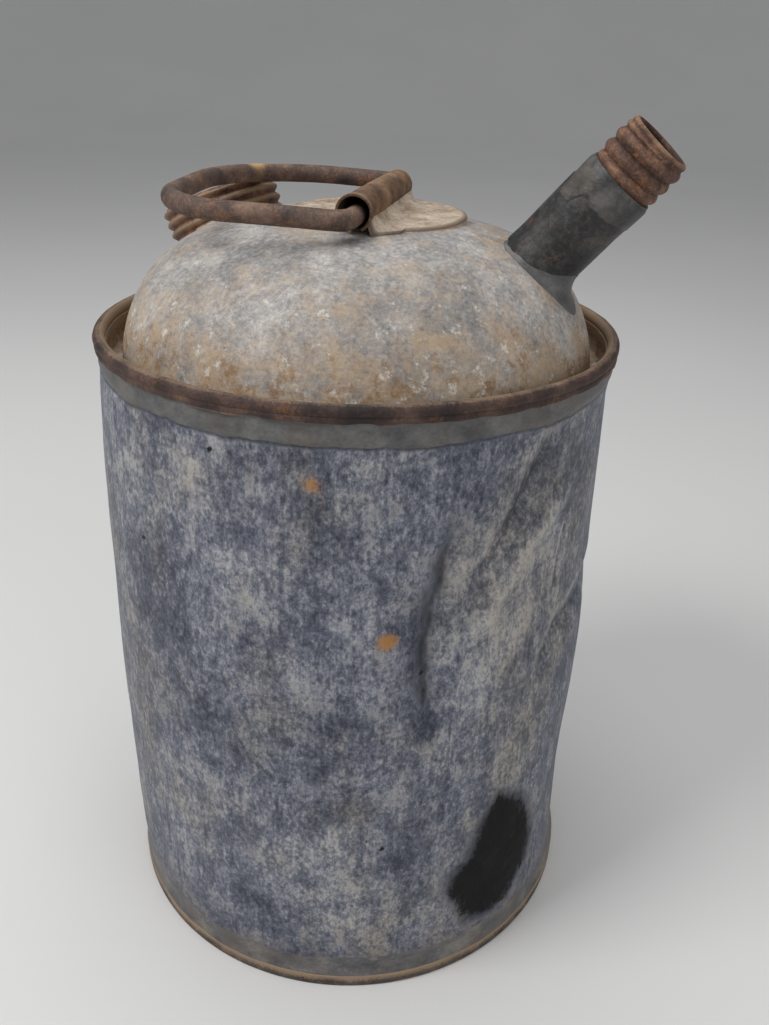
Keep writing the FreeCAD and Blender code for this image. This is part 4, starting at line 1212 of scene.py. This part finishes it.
def spout_sleeve():
    """Solder wiped over the joint below the ferrule, with a tongue run down the tube."""
    turn = turn_columns(140)
    side = (turn - TONGUE_TURN + 180.0) % 360.0 - 180.0
    tongue = TONGUE_LENGTH * np.exp(-(side / 24.0) ** 4)
    uneven = relief(around(turn, 1.0, 0.0), (1.2, 0.5, 4.0), (0.4, 0.15, 1.0))
    foot = FERRULE_FOOT - COLLAR_LENGTH + uneven - tongue
    share = row_values(0.0, 1.0, 26)
    reach = foot + (FERRULE_FOOT + 0.3 - foot) * share
    skin = 0.06 + 0.22 * smooth(share, 0.0, 0.10)
    over = spout_wall(turn, np.minimum(reach, DRAW_START))
    draw = 0.5 * smooth(reach, FERRULE_FOOT - 1.2, FERRULE_FOOT + 0.3)
    radius = over + skin - draw + relief(around(turn, SPOUT_RADIUS, reach), (0.12, 3.5, 6.0))
    return pipe_shell(SPOUT_PLACE, turn, radius, FERRULE_BORE + SHEET - 0.2, reach)


def ferrule():
    """Screw-threaded tip with a turned lip."""
    depth = FERRULE_THREAD[1]
    turn = turn_columns(160)
    body = np.linspace(FERRULE_FOOT, SPOUT_LENGTH - 0.6, 66)
    tip = np.array([SPOUT_LENGTH - 0.35, SPOUT_LENGTH - 0.12, SPOUT_LENGTH])
    reach = np.concatenate([body, tip])[:, None]
    start = FERRULE_FOOT + 0.5
    valley = FERRULE_RIDGE - depth
    place = around(turn, valley, reach)
    lip = smooth(reach, SPOUT_LENGTH - 1.8, SPOUT_LENGTH - 1.0) * 0.25
    round_off = 0.5 * smooth(reach, SPOUT_LENGTH - 0.6, SPOUT_LENGTH) ** 2
    thread = screw(turn, reach, start, FERRULE_THREAD, 1.0)
    bumps = relief(place, (0.10, 6.0, 5.0), (0.04, 1.8, 2.0))
    outer = valley - 0.1 + depth * thread + lip - round_off + bumps
    inner = FERRULE_BORE + 0.4 * thread + 0.3 * smooth(reach, SPOUT_LENGTH - 0.5, SPOUT_LENGTH)
    points, faces = pipe_shell(SPOUT_PLACE, turn, outer, inner, reach)
    # Paler ridges and lip: rubbed metal and a painted highlight, with painted shade in the grooves; the inside is
    # painted darker.
    wear_and_painted_light = 0.9 * thread + smooth(reach, SPOUT_LENGTH - 0.9, SPOUT_LENGTH - 0.2) - 0.5
    return points, faces, {"wear_and_painted_light": two_sided(wear_and_painted_light, -0.6)}


# ---------------------------------------------------------------- studio
CAMERA_PLACE = (0.0966, -0.2600, 0.2763)
CAMERA_HEADING, CAMERA_DOWN, CAMERA_ROLL = 108.346, 26.918, 1.816
CAMERA_LENS = 31.75
FLOOR_REACH, FLOOR_RISE = 9000.0, 6000.0
LIGHT_TARGET = (0.0, 0.0, 0.12)
LIGHTS = (
    # name, place, size, power
    ("key", (-0.60, -0.62, 1.00), 0.5, 7.6),
    ("fill", (0.95, -0.55, 0.60), 0.8, 2.6),
    ("top", (-0.05, 0.10, 1.25), 0.7, 4.0),
)


def camera():
    """Camera at the viewing angle of the reference: from the front right, looking down."""
    data = bpy.data.cameras.new("camera")
    data.lens = CAMERA_LENS
    data.clip_start = 0.01
    eye = bpy.data.objects.new("camera", data)
    bpy.context.scene.collection.objects.link(eye)
    heading = Matrix.Rotation(math.radians(CAMERA_HEADING - 90.0), 4, "Z")
    tilt = Matrix.Rotation(math.radians(90.0 - CAMERA_DOWN), 4, "X")
    roll = Matrix.Rotation(math.radians(CAMERA_ROLL), 4, "Z")
    eye.matrix_world = Matrix.Translation(CAMERA_PLACE) @ heading @ tilt @ roll
    bpy.context.scene.camera = eye


def soft_light(name, place, size, power):
    """Square soft box aimed at the can."""
    data = bpy.data.lights.new(name, "AREA")
    data.size = size
    data.energy = power
    light = bpy.data.objects.new(name, data)
    bpy.context.scene.collection.objects.link(light)
    light.location = place
    light.rotation_mode = "QUATERNION"
    light.rotation_quaternion = (Vector(LIGHT_TARGET) - Vector(place)).to_track_quat("-Z", "Y")


def floor():
    """Pale floor that curves up far behind the can, so that no horizon shows."""
    f = Finish("pale_floor")
    cloud = f.noise(500.0, 2.0, 0.5)
    colour = f.mottle(cloud, (0.3, srgb(226, 225, 223)), (0.7, srgb(230, 229, 227)))
    rough = f.mixture((cloud, 0.1), middle=0.75)
    paper = f.done(colour, rough, f.bumps((cloud, 0.05)), 0.0, 0.2)
    radius = np.concatenate([[0.0, 1000.0, 2500.0], np.linspace(3000.0, FLOOR_REACH, 24)])[:, None]
    rise = FLOOR_RISE * smooth(radius, 3000.0, 1.3 * FLOOR_REACH)
    points = around(turn_columns(96), radius, rise)
    make_object("floor", points, grid_faces(len(points), 96, False, True), paper)


def studio():
    """Pale surroundings and soft lights."""
    world = bpy.data.worlds.new("surroundings")
    world.use_nodes = True
    world.node_tree.nodes["Background"].inputs["Color"].default_value = srgb(228, 230, 234)
    world.node_tree.nodes["Background"].inputs["Strength"].default_value = 0.4
    bpy.context.scene.world = world
    bpy.context.scene.view_settings.view_transform = "Standard"
    for name, place, size, power in LIGHTS:
        soft_light(name, place, size, power)


# ---------------------------------------------------------------- build
PIECES = (
    # shape, which also names the piece; material; slot; CAD node
    (body_wall, "zinc", "weathered_galvanized", "body_shell"),
    (side_seam, "solder", "dull_solder", "side_seam_solder"),
    (rim_bead, "rim", "rusty_rim", "rim_hoop"),
    (rim_solder, "solder", "dull_solder", "rim_solder_band"),
    (foot_pan, "foot", "rusty_rim", "bottom_pan"),
    (base_solder, "pale_solder", "dull_solder", "base_solder_band"),
    (dome, "dome", "oxidized_dome", "dome_top"),
    (cap_disc, "plate", "oxidized_dome", "cap_plate"),
    (lug, "strap", "rusty_wire", "handle_lug"),
    (lug_foot, "plate", "rusty_wire", "handle_lug"),
    (lug_bead, "solder", "dull_solder", "lug_solder"),
    (bail, "wire", "rusty_wire", "bail_handle"),
    (filler, "thread", "rusty_thread", "filler_neck"),
    (filler_skirt, "plate", "dull_solder", "filler_neck_solder"),
    (spout, "lead", "leaden_tube", "spout_tube"),
    (spout_skirt, "solder", "dull_solder", "spout_base_solder"),
    (spout_lap, "lead", "leaden_tube", "spout_seam_solder"),
    (spout_sleeve, "dark_solder", "dull_solder", "spout_collar"),
    (ferrule, "thread", "rusty_thread", "spout_ferrule"),
)
PIPE_HOLES = ((FILLER_PLACE, FILLER_RIDGE - 1.8), (SPOUT_PLACE, SPOUT_RADIUS - SHEET))

for shape, material, slot, node in PIECES:
    body = "bail" if shape is bail else "can"
    piece = make_piece(shape.__name__, MATERIALS[material], slot, node, body, *shape())
    if shape is dome:
        for place, radius in PIPE_HOLES:
            cut_away(piece, pipe_cutter(place, radius))

hidden_wire = frame["nodes"]["rim_wire"]
hidden_wire.data.materials.clear()
hidden_wire.data.materials.append(MATERIALS["wire"])

camera()
floor()
studio()
